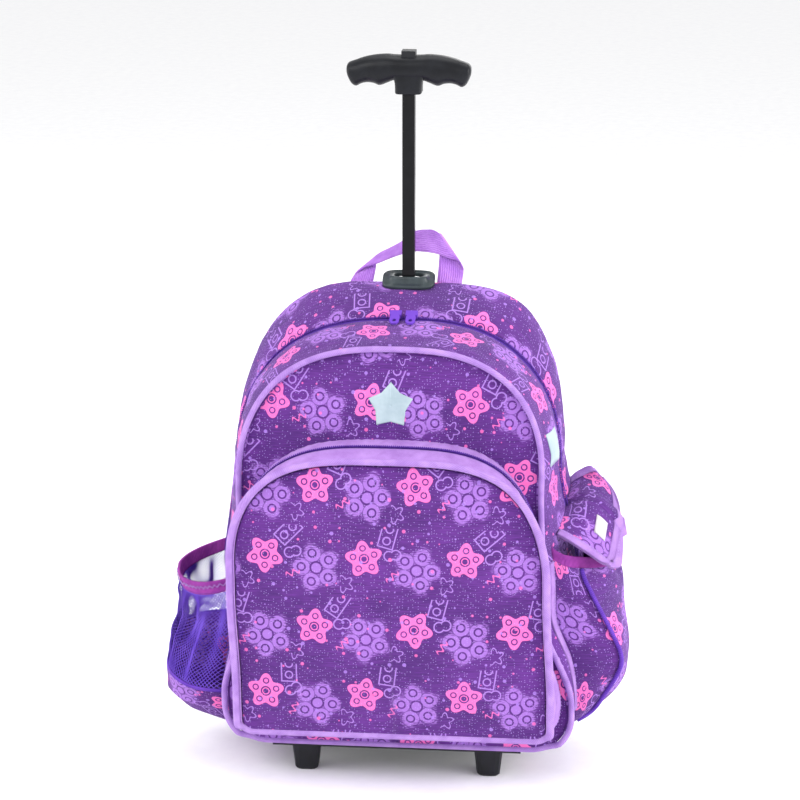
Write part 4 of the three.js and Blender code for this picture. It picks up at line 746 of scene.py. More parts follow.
def make_rear_shell():
    start = back_by(BACK_RING, -BACK_EDGE_ROUND)
    rows = gusset(ZIP_RING, start, GUSSET_BULGE, 22, MAIN_GAP, 0.0)
    uv = uv_rows(rows, ALONG[:-1], (0, 300))
    rows = soften(rows, uv[..., 0], uv[..., 1] - 300, 11, 1.0, 0.5, 1.6, ends=(True, False))
    turn = np.linspace(0, math.pi / 2, 6)[1:]
    bends = np.stack([
        back_by(inset(BACK_RING, BACK_EDGE_ROUND * (1 - math.cos(t))), -BACK_EDGE_ROUND * (1 - math.sin(t)))
        for t in turn
    ])
    rows = np.concatenate([rows, bends])
    uv = uv_rows(rows, ALONG[:-1], (0, 300))
    sheet_piece(
        "rear_gusset", rows, closed_uv(uv, ALONG[-1]), PRINT, CENTRE, "printed_cloth", "rear_shell",
    )
    edge = inset(BACK_RING, BACK_EDGE_ROUND + 0.4)

    def channels(x, z, distance):
        quilt = 0.0
        for line in QUILT_UPRIGHT:
            fade = smooth((z - 60) / 20) * smooth((400 - z) / 20)
            quilt = quilt - QUILT_DEPTH * np.exp(-np.abs(x - lean_at(z) - line) / QUILT_ROUND) * fade
        for line in QUILT_LEVEL:
            fade = smooth((130 - np.abs(x)) / 12)
            quilt = quilt - QUILT_DEPTH * np.exp(-np.abs(z - line) / QUILT_ROUND) * fade
        return quilt + 1.4 * smooth(distance / 30)

    back_rows, back_uv = panel(edge, 1, 3.0, 44, channels, 1.2)
    back = sheet_piece("back_panel", back_rows, closed_uv(back_uv), AIR_MESH, CENTRE, "padded_cloth")


def make_front_shell():
    rows = gusset(ZIP_RING, FRONT_RING, GUSSET_BULGE, 30, -MAIN_GAP, 0.0)
    uv = uv_rows(rows, ALONG[:-1], (40, 200))
    rows = soften(rows, uv[..., 0], uv[..., 1] - 200, 23, 1.9, 0.8, 2.4)
    sheet_piece(
        "front_gusset", rows, closed_uv(uv, ALONG[-1]), PRINT, CENTRE, "printed_cloth", "front_shell",
    )

    def dents(x, z, distance):
        soft = smooth(distance / 18)
        return soft * (1.3 * ripple(x, z, 5, 120) + 0.45 * ripple(x, z * 1.6, 6, 38))

    panel_rows, panel_uv = panel(FRONT_RING, -1, PANEL_BULGE, 46, dents)
    sheet_piece("front_panel", panel_rows, closed_uv(panel_uv), PRINT, CENTRE, "printed_cloth")


def piping_path(ring, radius):
    reach = (radius + GAP) * math.sqrt(0.5)
    return back_by(inset(ring, -reach), -reach)


def tucked(path, back, up):
    """A piping whose run along the floor is drawn back under the cloth in front of it."""
    share = smooth((path[:, 2].min() + TUCK_HEIGHT - path[:, 2]) / TUCK_FADE)
    return path + share[:, None] * np.array([0, back, up])


def make_zip(name, ring, along, start, half, sides_name):
    """A zip: its tape, a little hollow towards both sides, and a coil of teeth along the middle."""
    k = np.arange(start, RING_COUNT - start + 1)
    path = ring[k]
    outward = -inward_of(ring)[k]
    tape_rows = []
    for share in np.linspace(-1, 1, 9):
        dip = -0.9 * abs(share) ** 0.5
        row = path + outward * (-0.6 + dip * 0.4)
        row[:, 1] += share * (half + 0.2)
        tape_rows.append(row)
    tape_rows = np.stack(tape_rows)
    uv = uv_rows(tape_rows, along[k])
    sheet_piece(name, tape_rows, uv, ZIP_TAPE, CENTRE, "zip_tape", sides_name, closed=False, wall=1.0)
    dense_lengths = arc_lengths(path)
    turns = int(dense_lengths[-1] / TOOTH_PITCH)
    marks = np.linspace(1, dense_lengths[-1] - 1, turns * 6)
    centre, normal = along_path(marks, dense_lengths, path), along_path(marks, dense_lengths, outward)
    phase = np.arange(len(marks)) * 2 * math.pi / 6
    coil = centre + normal * (0.55 + 0.75 * np.cos(phase))[:, None]
    coil[:, 1] += TOOTH_SPAN * np.sin(phase)
    tube(name + "_coil", coil, TOOTH_RADIUS, VIOLET, "zip_tape", sides=4, up=(0, 0.2, 1))


make_rear_shell()
make_front_shell()
tube(
    "arch_piping", tucked(piping_path(FRONT_RING, PIPING_RADIUS), 4, 4), PIPING_RADIUS, PIPING, "lilac_trim",
    "main_piping", closed=True, sides=PIPING_SIDES,
)
make_zip("top_zip", ZIP_RING, ALONG, ZIP_START, ZIP_HALF_GAP - GAP, "main_zip")


# Front pocket
POCKET_CENTRE = (0, -100, 190)
BAND_BULGE, BAND_STEPS = 1.5, 12


def band(name, ring_a, ring_b, gap_a, gap_b, seed, node, seam):
    """A lilac band of the pocket's side, with a row of stitches along one of its rows."""
    rows = gusset(ring_a, ring_b, BAND_BULGE, BAND_STEPS, gap_a, gap_b)
    uv = uv_rows(rows, POCKET_ALONG[:-1])
    rows = soften(rows, uv[..., 0], uv[..., 1], seed, 0.5, 0.3, 1.0)
    uv = closed_uv(uv, POCKET_ALONG[-1])
    sheet_piece(name, rows, uv, LILAC, POCKET_CENTRE, "lilac_trim", node)
    normal = facing_away(row_normals(rows, True)[seam], rows[seam], POCKET_CENTRE)
    return rows[seam], normal


def make_pocket():
    rear = band(
        "pocket_rear_band", POCKET_BACK_RING, POCKET_ZIP_RING, 0.0, POCKET_GAP, 31, "pocket_band_back", 2,
    )
    fore = band(
        "pocket_fore_band", POCKET_ZIP_RING, POCKET_FRONT_RING, -POCKET_GAP, 0.0, 37, "pocket_band_front", 10,
    )

    def dents(x, z, distance):
        soft = smooth(distance / 22)
        return soft * (1.9 * ripple(x, z, 41, 150) + 0.7 * ripple(x * 0.7, z * 1.5, 43, 46))

    edge = inset(POCKET_FRONT_RING, WALL + 2 * GAP)
    rows, uv = panel(edge, -1, POCKET_FACE_BULGE, 50, dents, 1.6)
    sheet_piece("pocket_front_panel", rows, closed_uv(uv), PRINT, (0, -60, 190), "printed_cloth", "pocket_face")
    cord = tucked(piping_path(POCKET_FRONT_RING, POCKET_PIPING_RADIUS), 5, 4)
    tube(
        "pocket_cord", cord, POCKET_PIPING_RADIUS, PIPING, "lilac_trim", "pocket_piping",
        closed=True, sides=PIPING_SIDES,
    )
    make_zip("front_zip", POCKET_ZIP_RING, POCKET_ALONG, POCKET_ZIP_START, POCKET_ZIP_HALF - GAP, "pocket_zip")
    for name, (path, normal) in (("rear_band_stitch", rear), ("fore_band_stitch", fore)):
        stitches(name, path, normal, THREAD_LILAC, "lilac_trim", closed=True)


make_pocket()


# Trolley
GROMMET_PLATE, COLLAR_HEIGHT = 3, 3
GROMMET_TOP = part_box("grommet")[1][2] / MM
GRIP_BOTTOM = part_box("grip")[0][2] / MM
GRIP_DEPTH = 26


def spline(points, steps):
    """A smooth curve through points, whose slope at each follows from its two neighbours."""
    p = np.asarray(points, float)
    p = np.concatenate([2 * p[:1] - p[1:2], p, 2 * p[-1:] - p[-2:-1]])
    out = []
    for k in range(1, len(p) - 2):
        t = np.linspace(0, 1, steps, endpoint=False)[:, None]
        a, b, c, d = p[k - 1:k + 3]
        square, cube = (2 * a - 5 * b + 4 * c - d) * t ** 2, (3 * b - a - 3 * c + d) * t ** 3
        out.append(0.5 * (2 * b + (c - a) * t + square + cube))
    return np.concatenate(out + [p[-2:-1]])


def loft(name, rings, material, slot, *nodes, body=BODY):
    """A solid through closed rings of equal length, capped at both ends."""
    rows = np.stack(rings)
    count, columns = rows.shape[:2]
    faces = capped(grid_faces(count, columns, ring=True), count, columns, columns)
    uv = np.stack([rows[..., 0], rows[..., 2]], axis=2)
    obj = make_mesh(name, rows.reshape(-1, 3), faces, uv.reshape(-1, 2), material)
    work = bmesh.new()
    work.from_mesh(obj.data)
    bmesh.ops.recalc_face_normals(work, faces=work.faces)
    work.to_mesh(obj.data)
    work.free()
    return add(obj, slot, *nodes, body=body)


# half of the grip's bar from its middle to its end: across, top and bottom above the stem's foot
GRIP_BAR = np.array([
    (0, 39.0, 15.2), (6, 39.2, 15.2), (13.6, 39.5, 15.5), (19.4, 40, 13.4), (27, 39.6, 10.7),
    (33, 38.8, 12.6), (39, 37.6, 13.2), (44.5, 36, 12.0), (49.4, 34.2, 9.8), (53.5, 32.8, 12.0),
    (56.4, 31.4, 17.2), (57.8, 29.2, 21.0), (58.2, 26.4, 24.0),
])
GRIP_RAISE = -3.5
GRIP_HALF, GRIP_SIDES = 58, 32
STEM_WIDTH, STEM_DEPTH, STEM_HEIGHT = 25, 22, 20
# height above the stem's foot, and how much it grows to each side
STEM_SECTIONS = ((0, -1.2), (0.4, -0.4), (1.4, 0), (6, 0), (10, 0.3), (14, 1.2), (17, 3), (STEM_HEIGHT, 5.5))


def make_grip():
    """A bar with finger rests, lofted from end to end, on a square stem round the pole."""
    half = spline(GRIP_BAR, 5)
    bar = np.concatenate([half[::-1] * (-1, 1, 1), half[1:]])
    rings = []
    for x, top, bottom in bar:
        middle, tall = (top + bottom) / 2, (top - bottom) / 2
        deep = GRIP_DEPTH / 2 * (1 - 0.25 * (abs(x) / GRIP_HALF) ** 3) * min(1, (tall / 8) ** 0.6)
        angle = np.arange(GRIP_SIDES) * 2 * math.pi / GRIP_SIDES
        c, sn = np.cos(angle), np.sin(angle)
        y = np.sign(c) * np.abs(c) ** 0.85 * deep
        z = np.sign(sn) * np.abs(sn) ** 0.85 * tall
        z = GRIP_BOTTOM + GRIP_RAISE + middle + z
        rings.append(np.stack([np.full(GRIP_SIDES, x), POLE_Y + y, z], axis=1))
    loft("handle_bar", rings, GRIP_BLACK, "black_plastic", "grip", body="trolley")
    rings = []
    for z, grow in STEM_SECTIONS:
        ring = rounded_ring(STEM_WIDTH + 2 * grow, min(STEM_DEPTH + grow, GRIP_DEPTH - 3), z, 0.28, 40)
        rings.append(ring + np.array([0, POLE_Y, GRIP_BOTTOM]))
    loft("handle_stem", rings, GRIP_BLACK, "black_plastic", "grip", body="trolley")


def rounded_ring(width, depth, z, power=0.5, sides=40, tilt=0.0):
    angle = (np.arange(sides) + 0.5) * 2 * math.pi / sides
    c, s = np.cos(angle), np.sin(angle)
    x = np.sign(c) * np.abs(c) ** power * width / 2
    y = np.sign(s) * np.abs(s) ** power * depth / 2
    return np.stack([x, y, z + y * tilt], axis=1)


make_grip()


def make_grommet():
    """A plate on the sloping top with a tapered collar round the pole."""
    slope = math.atan2(BACK_HEIGHT - ZIP_HEIGHT, BACK_FACE_Y - BACK_EDGE_ROUND - ZIP_Y)
    tilt = math.tan(slope)
    foot = GROMMET_TOP - GROMMET_PLATE - COLLAR_HEIGHT
    sizes = [
        (50, 24, -0.4, 1), (50, 24, 2.2, 1), (48.6, 22.6, 3.0, 1), (41, 23.4, 3.1, 0.9), (38.6, 22.2, 3.9, 0.6),
        (36.8, 21, 5.0, 0.3), (35.6, 20.3, 5.7, 0), (34.4, 19.2, 6.0, 0), (30.0, 17.6, 6.0, 0),
        (27.2, 16.8, 5.4, 0), (27, 16.6, 3.0, 0), (27, 16.6, -0.4, 0.8),
    ]
    rings = [rounded_ring(w, d, z, 0.5, 48, tilt * share) for w, d, z, share in sizes]
    rows = np.stack(rings + rings[:1])
    rows[..., 1] += POLE_Y
    rows[..., 2] += foot
    count, columns = rows.shape[:2]
    faces = []
    for j in range(count - 1):
        for i in range(columns):
            here, after = j * columns, ((j + 1) % (count - 1)) * columns
            beside = (i + 1) % columns
            faces.append((here + i, here + beside, after + beside, after + i))
    points = rows[:-1].reshape(-1, 3)
    obj = make_mesh("pole_collar", points, faces, points[:, [0, 2]], GREY)
    return add(obj, "grey_plastic", "grommet")


make_grommet()


def dress(node, material, bevel=0.0, segments=2):
    """Gives a carried-over node its material and rounds its edges."""
    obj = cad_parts[node]
    obj.data.materials.clear()
    obj.data.materials.append(material)
    if bevel:
        modifier = obj.modifiers.new("edges", "BEVEL")
        modifier.width, modifier.segments, modifier.limit_method = bevel * MM, segments, "ANGLE"
        modifier.harden_normals = True
    return obj


dress("pole", POLE_BLACK, 0.7)
dress("release_button", BLACK, 1.2, 3)
dress("sleeve_tube", BLACK)
for side in ("left", "right"):
    dress("foot_" + side, BLACK, 0.8)
    dress("adjuster_" + side, BLACK, 0.6)
    dress("axle_" + side, STEEL, 0.4)
    dress("tyre_" + side, RUBBER, 0.8)
    dress("hub_" + side, BLACK, 0.6)
    dress("main_slider_" + side, VIOLET, 0.4)
dress("base_plate", BLACK, 0.8)

# The bag's sides, which the sewn pieces lie on
LOOK_FROM, SIDE_HALF_WIDTH = 400, 158
bpy.context.view_layer.update()


def tree_of(*names):
    """A search tree of pieces, in millimetres from the pole's axis."""
    points, faces = [], []
    for name in names:
        data = bpy.data.objects[name].data
        start = len(points)
        flat = np.empty(len(data.vertices) * 3)
        data.vertices.foreach_get("co", flat)
        points += [Vector(p) for p in (flat.reshape(-1, 3) - SHIFT) / MM]
        faces += [tuple(start + k for k in polygon.vertices) for polygon in data.polygons]
    return BVHTree.FromPolygons(points, faces)


SIDES = tree_of("rear_gusset", "front_gusset")


def on_side(side, y, z, out):
    hit = SIDES.ray_cast(Vector((side * LOOK_FROM, y, z)), Vector((-side, 0, 0)))[0]
    x = hit.x if hit is not None else side * SIDE_HALF_WIDTH
    return np.array([x + side * out, y, z])


def on_side_rows(side, y, z, out):
    flat = [on_side(side, *item) for item in zip(np.ravel(y), np.ravel(z), np.ravel(out))]
    return np.array(flat).reshape(*np.shape(y), 3)


# Side net pocket
SIDE_FRONT_Y, SIDE_BACK_Y = -60, 40
NET_RIM_SAG, NET_REACH, NET_SEAM_RISE = 17, 60, 44
# height, reach, sag and share of the seam's rise, from the rim's top down to the foot
NET_LEVELS = np.array([
    (193, 0.78, 1, 0.12), (181, 0.74, 1, 0.12), (152.6, 0.74, 0.7, 0.3), (122.3, 0.86, 0.3, 0.7),
    (92, 0.97, 0, 1), (64, 1.02, 0, 0.3), (49.2, 0.88, 0, 0), (41, 0.5, 0, 0), (43, 0, 0, 0),
])
RIM_LEVEL, SEAM_LEVEL, FOOT_LEVEL = 1, 4, 8
NET_COLUMNS, RIM_ROWS, BASE_ROWS = 61, 9, 29
NET_INSIDE, NET_BASE_INSIDE = (-185, -10, 130), (-170, -10, 80)
STRANDS_ACROSS, STRANDS_DOWN, STRAND_RADIUS, FOLD_DEPTH = 50, 23, 0.72, 3.8
FINE_ROWS, FINE_COLUMNS = 45, 90


def net_surface(levels, angles, wrinkle):
    """Points of the net pocket's wall, at row numbers of its levels and at shares of its half turn."""
    parts = [np.interp(levels, np.arange(len(NET_LEVELS)), NET_LEVELS[:, k]) for k in range(4)]
    z0, reach, sag, tilt = [p[:, None] for p in parts]
    angle = np.asarray(angles)[None, :] * math.pi
    bow = np.sin(angle) ** 0.7
    bend = np.sign(np.cos(angle)) * np.abs(np.cos(angle)) ** 0.85
    back = (1 - bend) / 2
    y = SIDE_FRONT_Y + (SIDE_BACK_Y - SIDE_FRONT_Y) * back
    z = z0 - NET_RIM_SAG * sag * bow + NET_SEAM_RISE * tilt * (back - 0.4)
    out = (reach * NET_REACH + wrinkle) * bow
    y, z, out = np.broadcast_arrays(y, z, out)
    return on_side_rows(-1, y, z, out)


def net_folds(levels, angles, amount):
    """Gathers that hang from the elastic rim and fade at the seam."""
    level, angle = np.meshgrid(levels, angles, indexing="ij")
    fade = smooth((level - 0.9) / 0.8) * smooth((4.4 - level) / 1.6)
    turn = angle * 2 * math.pi
    folds = np.sin(turn * 5.3 + 0.8 * level) + 0.6 * np.sin(turn * 8.7 + 1.0 - 0.5 * level)
    return amount * fade * folds


def make_net_rim():
    """An elastic band with a zigzag of light thread and a row of darker stitches."""
    angles = np.linspace(0, 1, NET_COLUMNS)
    levels = np.linspace(0, RIM_LEVEL, RIM_ROWS)
    rim_wave = 0.5 * np.sin(angles * 2 * math.pi * 16)[None, :] * np.ones((RIM_ROWS, 1))
    rows = net_surface(levels, angles, 1.0 + rim_wave * np.sin(levels * math.pi)[:, None])
    uv = uv_rows(rows, arc_lengths(rows[0]))
    sheet_piece("net_band", rows, uv, RIM, NET_INSIDE, "magenta_rim", "net_rim", closed=False, wall=2.4)
    normal = facing_away(row_normals(rows, False), rows, NET_INSIDE)
    corners = [(2 + 2 * (k % 2), k) for k in range(NET_COLUMNS)]
    zigzag = np.array([rows[corner] + normal[corner] * 1.15 for corner in corners])
    tube("net_band_zigzag", zigzag, 0.4, THREAD_LILAC, "lilac_trim", sides=6)
    stitches("net_band_stitch", rows[7], normal[7], THREAD_VIOLET, "violet_webbing", 2.6, 2.0, 0.4)


def make_net_base():
    """The pocket's printed lower part, with a tape over the seam to the net."""
    shares = np.linspace(0, 1, BASE_ROWS)
    grid = np.meshgrid(np.linspace(0, 260, NET_COLUMNS), np.linspace(0, 90, BASE_ROWS))
    wave = 1.2 * ripple(*grid, 71, 60) * smooth(shares * 6)[:, None] * smooth((1 - shares) * 4)[:, None]
    rows = net_surface(np.linspace(SEAM_LEVEL, FOOT_LEVEL, BASE_ROWS), np.linspace(0, 1, NET_COLUMNS), wave)
    uv = uv_rows(rows, arc_lengths(rows[6]), (20, 10))
    sheet_piece("net_base_cloth", rows, uv, PRINT, NET_BASE_INSIDE, "printed_cloth", "net_base", closed=False)
    seam = rows[0]
    normal = facing_away(row_normals(rows, False)[0], seam, NET_BASE_INSIDE)
    ribbon(
        "net_seam_tape", seam + normal * 0.5, np.cross(np.gradient(seam, axis=0), normal), normal, 3.5, 1.2,
        VIOLET, "violet_webbing",
    )


def make_net():
    """Zigzag strands that meet each other, as those of knitted nets do."""
    levels, angles = np.linspace(RIM_LEVEL, SEAM_LEVEL, FINE_ROWS + 1), np.linspace(0, 1, FINE_COLUMNS + 1)
    surface = net_surface(levels, angles, net_folds(levels, angles, FOLD_DEPTH))
    steps = STRANDS_DOWN * 2 + 1
    row, half = np.linspace(0, FINE_ROWS, steps), 0.5 * (np.arange(steps) % 2)
    strands = []
    for k in range(STRANDS_ACROSS + 1):
        for side in (half, -half):
            column = np.clip((k + side) / STRANDS_ACROSS * FINE_COLUMNS, 0, FINE_COLUMNS)
            strands.append(sample_grid(surface, row, column))
    points, faces, uvs = [], [], []
    for strand in strands:
        ahead = np.gradient(strand, axis=0)
        ahead /= np.maximum(np.linalg.norm(ahead, axis=1, keepdims=True), 1e-6)
        side = np.cross(ahead, np.array([0.3, 0.9, 0.1]))
        side /= np.maximum(np.linalg.norm(side, axis=1, keepdims=True), 1e-6)
        other = np.cross(ahead, side)
        first = len(points)
        for j in range(len(strand)):
            for turn in range(3):
                a = 2 * math.pi * turn / 3
                points.append(strand[j] + STRAND_RADIUS * (side[j] * math.cos(a) + other[j] * math.sin(a)))
                uvs.append((turn, j * 1.5))
        for j in range(len(strand) - 1):
            for turn in range(3):
                a, b = first + j * 3 + turn, first + j * 3 + (turn + 1) % 3
                faces.append((a, b, b + 3, a + 3))
        last = first + (len(strand) - 1) * 3
        faces.append((first, first + 2, first + 1))
        faces.append((last, last + 1, last + 2))
    add(make_mesh("net_strands", points, faces, uvs, NET), "violet_net", "net_pocket")


def sample_grid(surface, row, column):
    """Points of a grid at places between its rows and columns."""
    r0 = np.minimum(row.astype(int), surface.shape[0] - 2)
    c0 = np.minimum(column.astype(int), surface.shape[1] - 2)
    fr, fc = (row - r0)[:, None], (column - c0)[:, None]
    top = surface[r0, c0] * (1 - fc) + surface[r0, c0 + 1] * fc
    low = surface[r0 + 1, c0] * (1 - fc) + surface[r0 + 1, c0 + 1] * fc
    return top * (1 - fr) + low * fr


make_net_rim()
make_net_base()
make_net()


TAPE_HALF, TAPE_EVEN = 3.5, 3


def side_tape(name, side, top, bottom, node):
    """Tape sewn down the front edge of a side pocket, lying on the bag's side."""
    z = np.linspace(bottom, top, 60)
    y = SIDE_FRONT_Y - GAP - TAPE_HALF
    front = np.array([on_side(side, y - TAPE_HALF, h, 0.4) for h in z])
    back = np.array([on_side(side, y + TAPE_HALF, h, 0.4) for h in z])
    middle = (front + back) / 2
    even = np.ones(2 * TAPE_EVEN + 1) / (2 * TAPE_EVEN + 1)
    padded = np.pad(middle, ((TAPE_EVEN, TAPE_EVEN), (0, 0)), mode="edge")
    middle = np.stack([np.convolve(padded[:, k], even, "valid") for k in range(3)], axis=1)
    across = back - front
    facing = np.array([side, 0, 0.0]) - np.array([0, 0.25, 0.0])
    ribbon(name, middle, across, facing, 8.5, 2.6, LILAC, "lilac_trim", node)
    edge = middle + across / np.linalg.norm(across, axis=1, keepdims=True) * 2.6 + facing * 1.3
    stitches(name + "_stitch", edge, np.broadcast_to(facing, edge.shape), THREAD_LILAC, "lilac_trim")


side_tape("net_side_tape", -1, 190, 61, "net_tape")
side_tape("pouch_side_tape", 1, 217, 68, "pouch_tape")


# Pouch with a flap
POUCH_TOP, POUCH_BOTTOM, POUCH_REACH, POUCH_MOUTH_SAG, POUCH_RIM_HEIGHT = 231, 48, 58, 34, 14
POUCH_RIM_SHARE = POUCH_RIM_HEIGHT / (POUCH_TOP - POUCH_BOTTOM)
# height share, and how far the piped edge and the outer wall reach
POUCH_LEVELS = np.array([
    (1, 0.27, 0.58), (1 - POUCH_RIM_SHARE, 0.3, 0.65), (0.8, 0.4, 0.73), (0.58, 0.68, 0.75),
    (0.37, 0.77, 0.79), (0.22, 0.54, 0.74), (0.08, 0.28, 0.45), (0, 0, 0),
])
# share from front to back, and weights of the piped edge and the outer wall
POUCH_TURNS = np.array([
    (0, 0, 0), (0.05, 0.6, 0), (0.14, 1, 0), (0.32, 0.35, 0.65), (0.55, 0, 1), (0.78, 0, 0.94),
    (0.94, 0, 0.6), (1, 0, 0),
])


POUCH_INSIDE = (178, -10, 130)
POUCH_CORNER, POUCH_CORD = 14, 2.1


def pouch_surface(levels, turns, wave):
    """Points of the pouch's wall, at row numbers of its levels and of its turns."""
    level = [np.interp(levels, np.arange(8), POUCH_LEVELS[:, k])[:, None] for k in range(3)]
    turn = [np.interp(turns, np.arange(8), POUCH_TURNS[:, k])[None, :] for k in range(3)]
    out = (level[1] * turn[1] + level[2] * turn[2]) * POUCH_REACH
    sag = POUCH_MOUTH_SAG * (out / POUCH_REACH) ** 0.6 * level[0] ** 3
    z = POUCH_BOTTOM + (POUCH_TOP - POUCH_BOTTOM) * level[0] - sag
    y = SIDE_FRONT_Y + (SIDE_BACK_Y - SIDE_FRONT_Y) * turn[0]
    fade = smooth(out / 25)
    y, z, out = np.broadcast_arrays(y, z, out + wave * fade)
    return on_side_rows(1, y, z, out)


def smooth_grid(rows, times, edge_column):
    """Relaxes a grid of points, while one column and the first row only move along themselves."""
    rows = rows.copy()
    for _ in range(times):
        new = rows.copy()
        around = rows[:-2, 1:-1] + rows[2:, 1:-1] + rows[1:-1, :-2] + rows[1:-1, 2:]
        new[1:-1, 1:-1] = around / 4 * 0.7 + rows[1:-1, 1:-1] * 0.3
        new[0, 1:-1] = (rows[0, :-2] + rows[0, 2:]) / 2 * 0.5 + rows[0, 1:-1] * 0.5
        edge = rows[:, edge_column]
        new[1:-1, edge_column] = (edge[:-2] + edge[2:]) / 2 * 0.6 + edge[1:-1] * 0.4
        rows = new
    return rows


def make_pouch():
    turns = np.concatenate([np.linspace(0, 2, 15), np.linspace(2, 7, 41)[1:]])
    levels = np.linspace(1, 7, 61)
    grid_u, grid_v = np.meshgrid(np.linspace(0, 190, len(turns)), np.linspace(0, 170, len(levels)))
    wave = 2.6 * ripple(grid_u, grid_v, 91, 75) + 1.0 * ripple(grid_u, grid_v, 92, 30)
    rows = smooth_grid(pouch_surface(levels, turns, wave), 14, POUCH_CORNER)
    uv = uv_rows(rows, arc_lengths(rows[30]), (10, 40))
    sheet_piece("pouch_cloth", rows, uv, PRINT, POUCH_INSIDE, "printed_cloth", "pouch", closed=False)
    cord = rows[:-3, POUCH_CORNER] + np.array([1.0, -1.0, 0]) / math.sqrt(2) * 2.0
    tube("pouch_cord", cord, POUCH_CORD, VIOLET, "violet_webbing", "pouch_piping")
    rim = pouch_surface(np.linspace(0, 1, 9), turns, 0.3)
    rim[-1] = rows[0]
    uv = uv_rows(rim, arc_lengths(rim[4]))
    sheet_piece("pouch_band", rim, uv, RIM, POUCH_INSIDE, "magenta_rim", "pouch_rim", closed=False)


make_pouch()

# share from front to back, reach, crown, drop and roll, as in the flap's sections
FLAP_SECTIONS = np.array([
    (0, 1, 0, 0.63, 0), (0.16, 1.04, 0.35, 0.76, 0.2), (0.38, 1.04, 0.75, 0.62, 0.3),
    (0.6, 1.01, 1, 0.4, 0.3), (0.82, 0.85, 0.8, 0.12, 0.2), (1, 0.46, 0.4, -0.2, 0),
])
# share out, crown, fall and plain slope, from the hinge to the outer edge
FLAP_PROFILE = np.array([
    (0, 0, 0, 0), (0.28, 0.8, 0.03, 0.25), (0.6, 1, 0.06, 0.58), (0.83, 0.7, 0.42, 0.82),
    (0.95, 0.25, 0.8, 0.95), (1, 0, 1, 1),
])
FLAP_BACK_Z, FLAP_FRONT_Z, FLAP_REACH, FLAP_PUFF, FLAP_DROP = 262, 240, 52, 14, 51
FLAP_FRONT_Y, FLAP_BACK_Y = SIDE_FRONT_Y + 12, SIDE_BACK_Y + 2
FLAP_ROWS, FLAP_COLUMNS, BAND_COLUMN = 41, 35, 22
FLAP_INSIDE = (175, -5, 205)
LABEL_ROWS, LABEL_COLUMNS = slice(10, 17), slice(13, 19)


def smooth_table(table, steps):
    """A table's rows and smooth ones between them."""
    marks, dense = np.linspace(0, len(table) - 1, steps), spline(table, 12)
    return along_path(marks * 12, np.arange(len(dense)), dense)


def make_flap():
    sections, profile = smooth_table(FLAP_SECTIONS, FLAP_ROWS), smooth_table(FLAP_PROFILE, FLAP_COLUMNS)
    rows = []
    for back, reach, puff, drop, roll in sections:
        y = FLAP_FRONT_Y + (FLAP_BACK_Y - FLAP_FRONT_Y) * back
        hinge = on_side(1, y, FLAP_FRONT_Z + (FLAP_BACK_Z - FLAP_FRONT_Z) * back, -1.0)
        row = []
        for out, crown, fall, slope in profile:
            rise = FLAP_PUFF * puff * crown - FLAP_DROP * drop * (slope + (fall - slope) * roll)
            row.append(hinge + np.array([FLAP_REACH * reach * out, 0, rise]))
        rows.append(row)
    rows = np.array(rows)
    grid_u, grid_v = np.meshgrid(np.linspace(0, 80, FLAP_COLUMNS), np.linspace(0, 102, FLAP_ROWS))
    normal = facing_away(row_normals(rows, False), rows, FLAP_INSIDE)
    rows = rows + normal * (1.5 * ripple(grid_u, grid_v, 57, 48) * smooth(grid_u / 12))[..., None]
    uv = np.stack([grid_u + 30, grid_v + 14], axis=2)
    sheet_piece(
        "flap_cloth", rows, uv, PRINT, FLAP_INSIDE, "printed_cloth", "pouch_flap", closed=False, wall=1.8,
    )

    def round_edge(grid, inward):
        return np.concatenate([grid[inward, 1:-1], grid[:, -1 - inward], grid[-1 - inward, 1:-1][::-1]])

    edge, facing = round_edge(rows, 0), round_edge(normal, 0)
    across = edge - round_edge(rows, 3)
    for _ in range(6):
        across[1:-1] = (across[:-2] + across[2:] + across[1:-1]) / 3
        facing[1:-1] = (facing[:-2] + facing[2:] + facing[1:-1]) / 3
    across /= np.linalg.norm(across, axis=1, keepdims=True)
    middle = edge - across * 1.2
    ribbon("flap_edge", middle, across, facing, 8.5, 3.6, LILAC, "lilac_trim", "flap_binding", edge=0.7)
    raised = rows + normal * 0.9
    sheet_piece(
        "flap_edge_band", raised[:, BAND_COLUMN:], uv[:, BAND_COLUMN:], LILAC, FLAP_INSIDE, "lilac_trim",
        closed=False, wall=0.9,
    )
    line = middle - across * 2.6 + facing * 1.75
    stitches("flap_edge_stitch", line, facing, THREAD_LILAC, "lilac_trim")
    # a small plain woven label sewn near the edge
    label_uv = np.stack(np.meshgrid(np.linspace(0, 12, 6), np.linspace(0, 18, 7)), axis=2)
    sheet_piece(
        "flap_label", raised[LABEL_ROWS, LABEL_COLUMNS], label_uv, LABEL, FLAP_INSIDE, "lilac_trim",
        closed=False, wall=0.7,
    )


make_flap()


# Carry loop and straps
LOOP_WIDTH, LOOP_SPAN, LOOP_RISE, LOOP_CENTRE_X, LOOP_FOOT = 22, 84, 52, -4, 448
WEBBING_THICK, WEBBING_EDGE = 1.8, 0.55
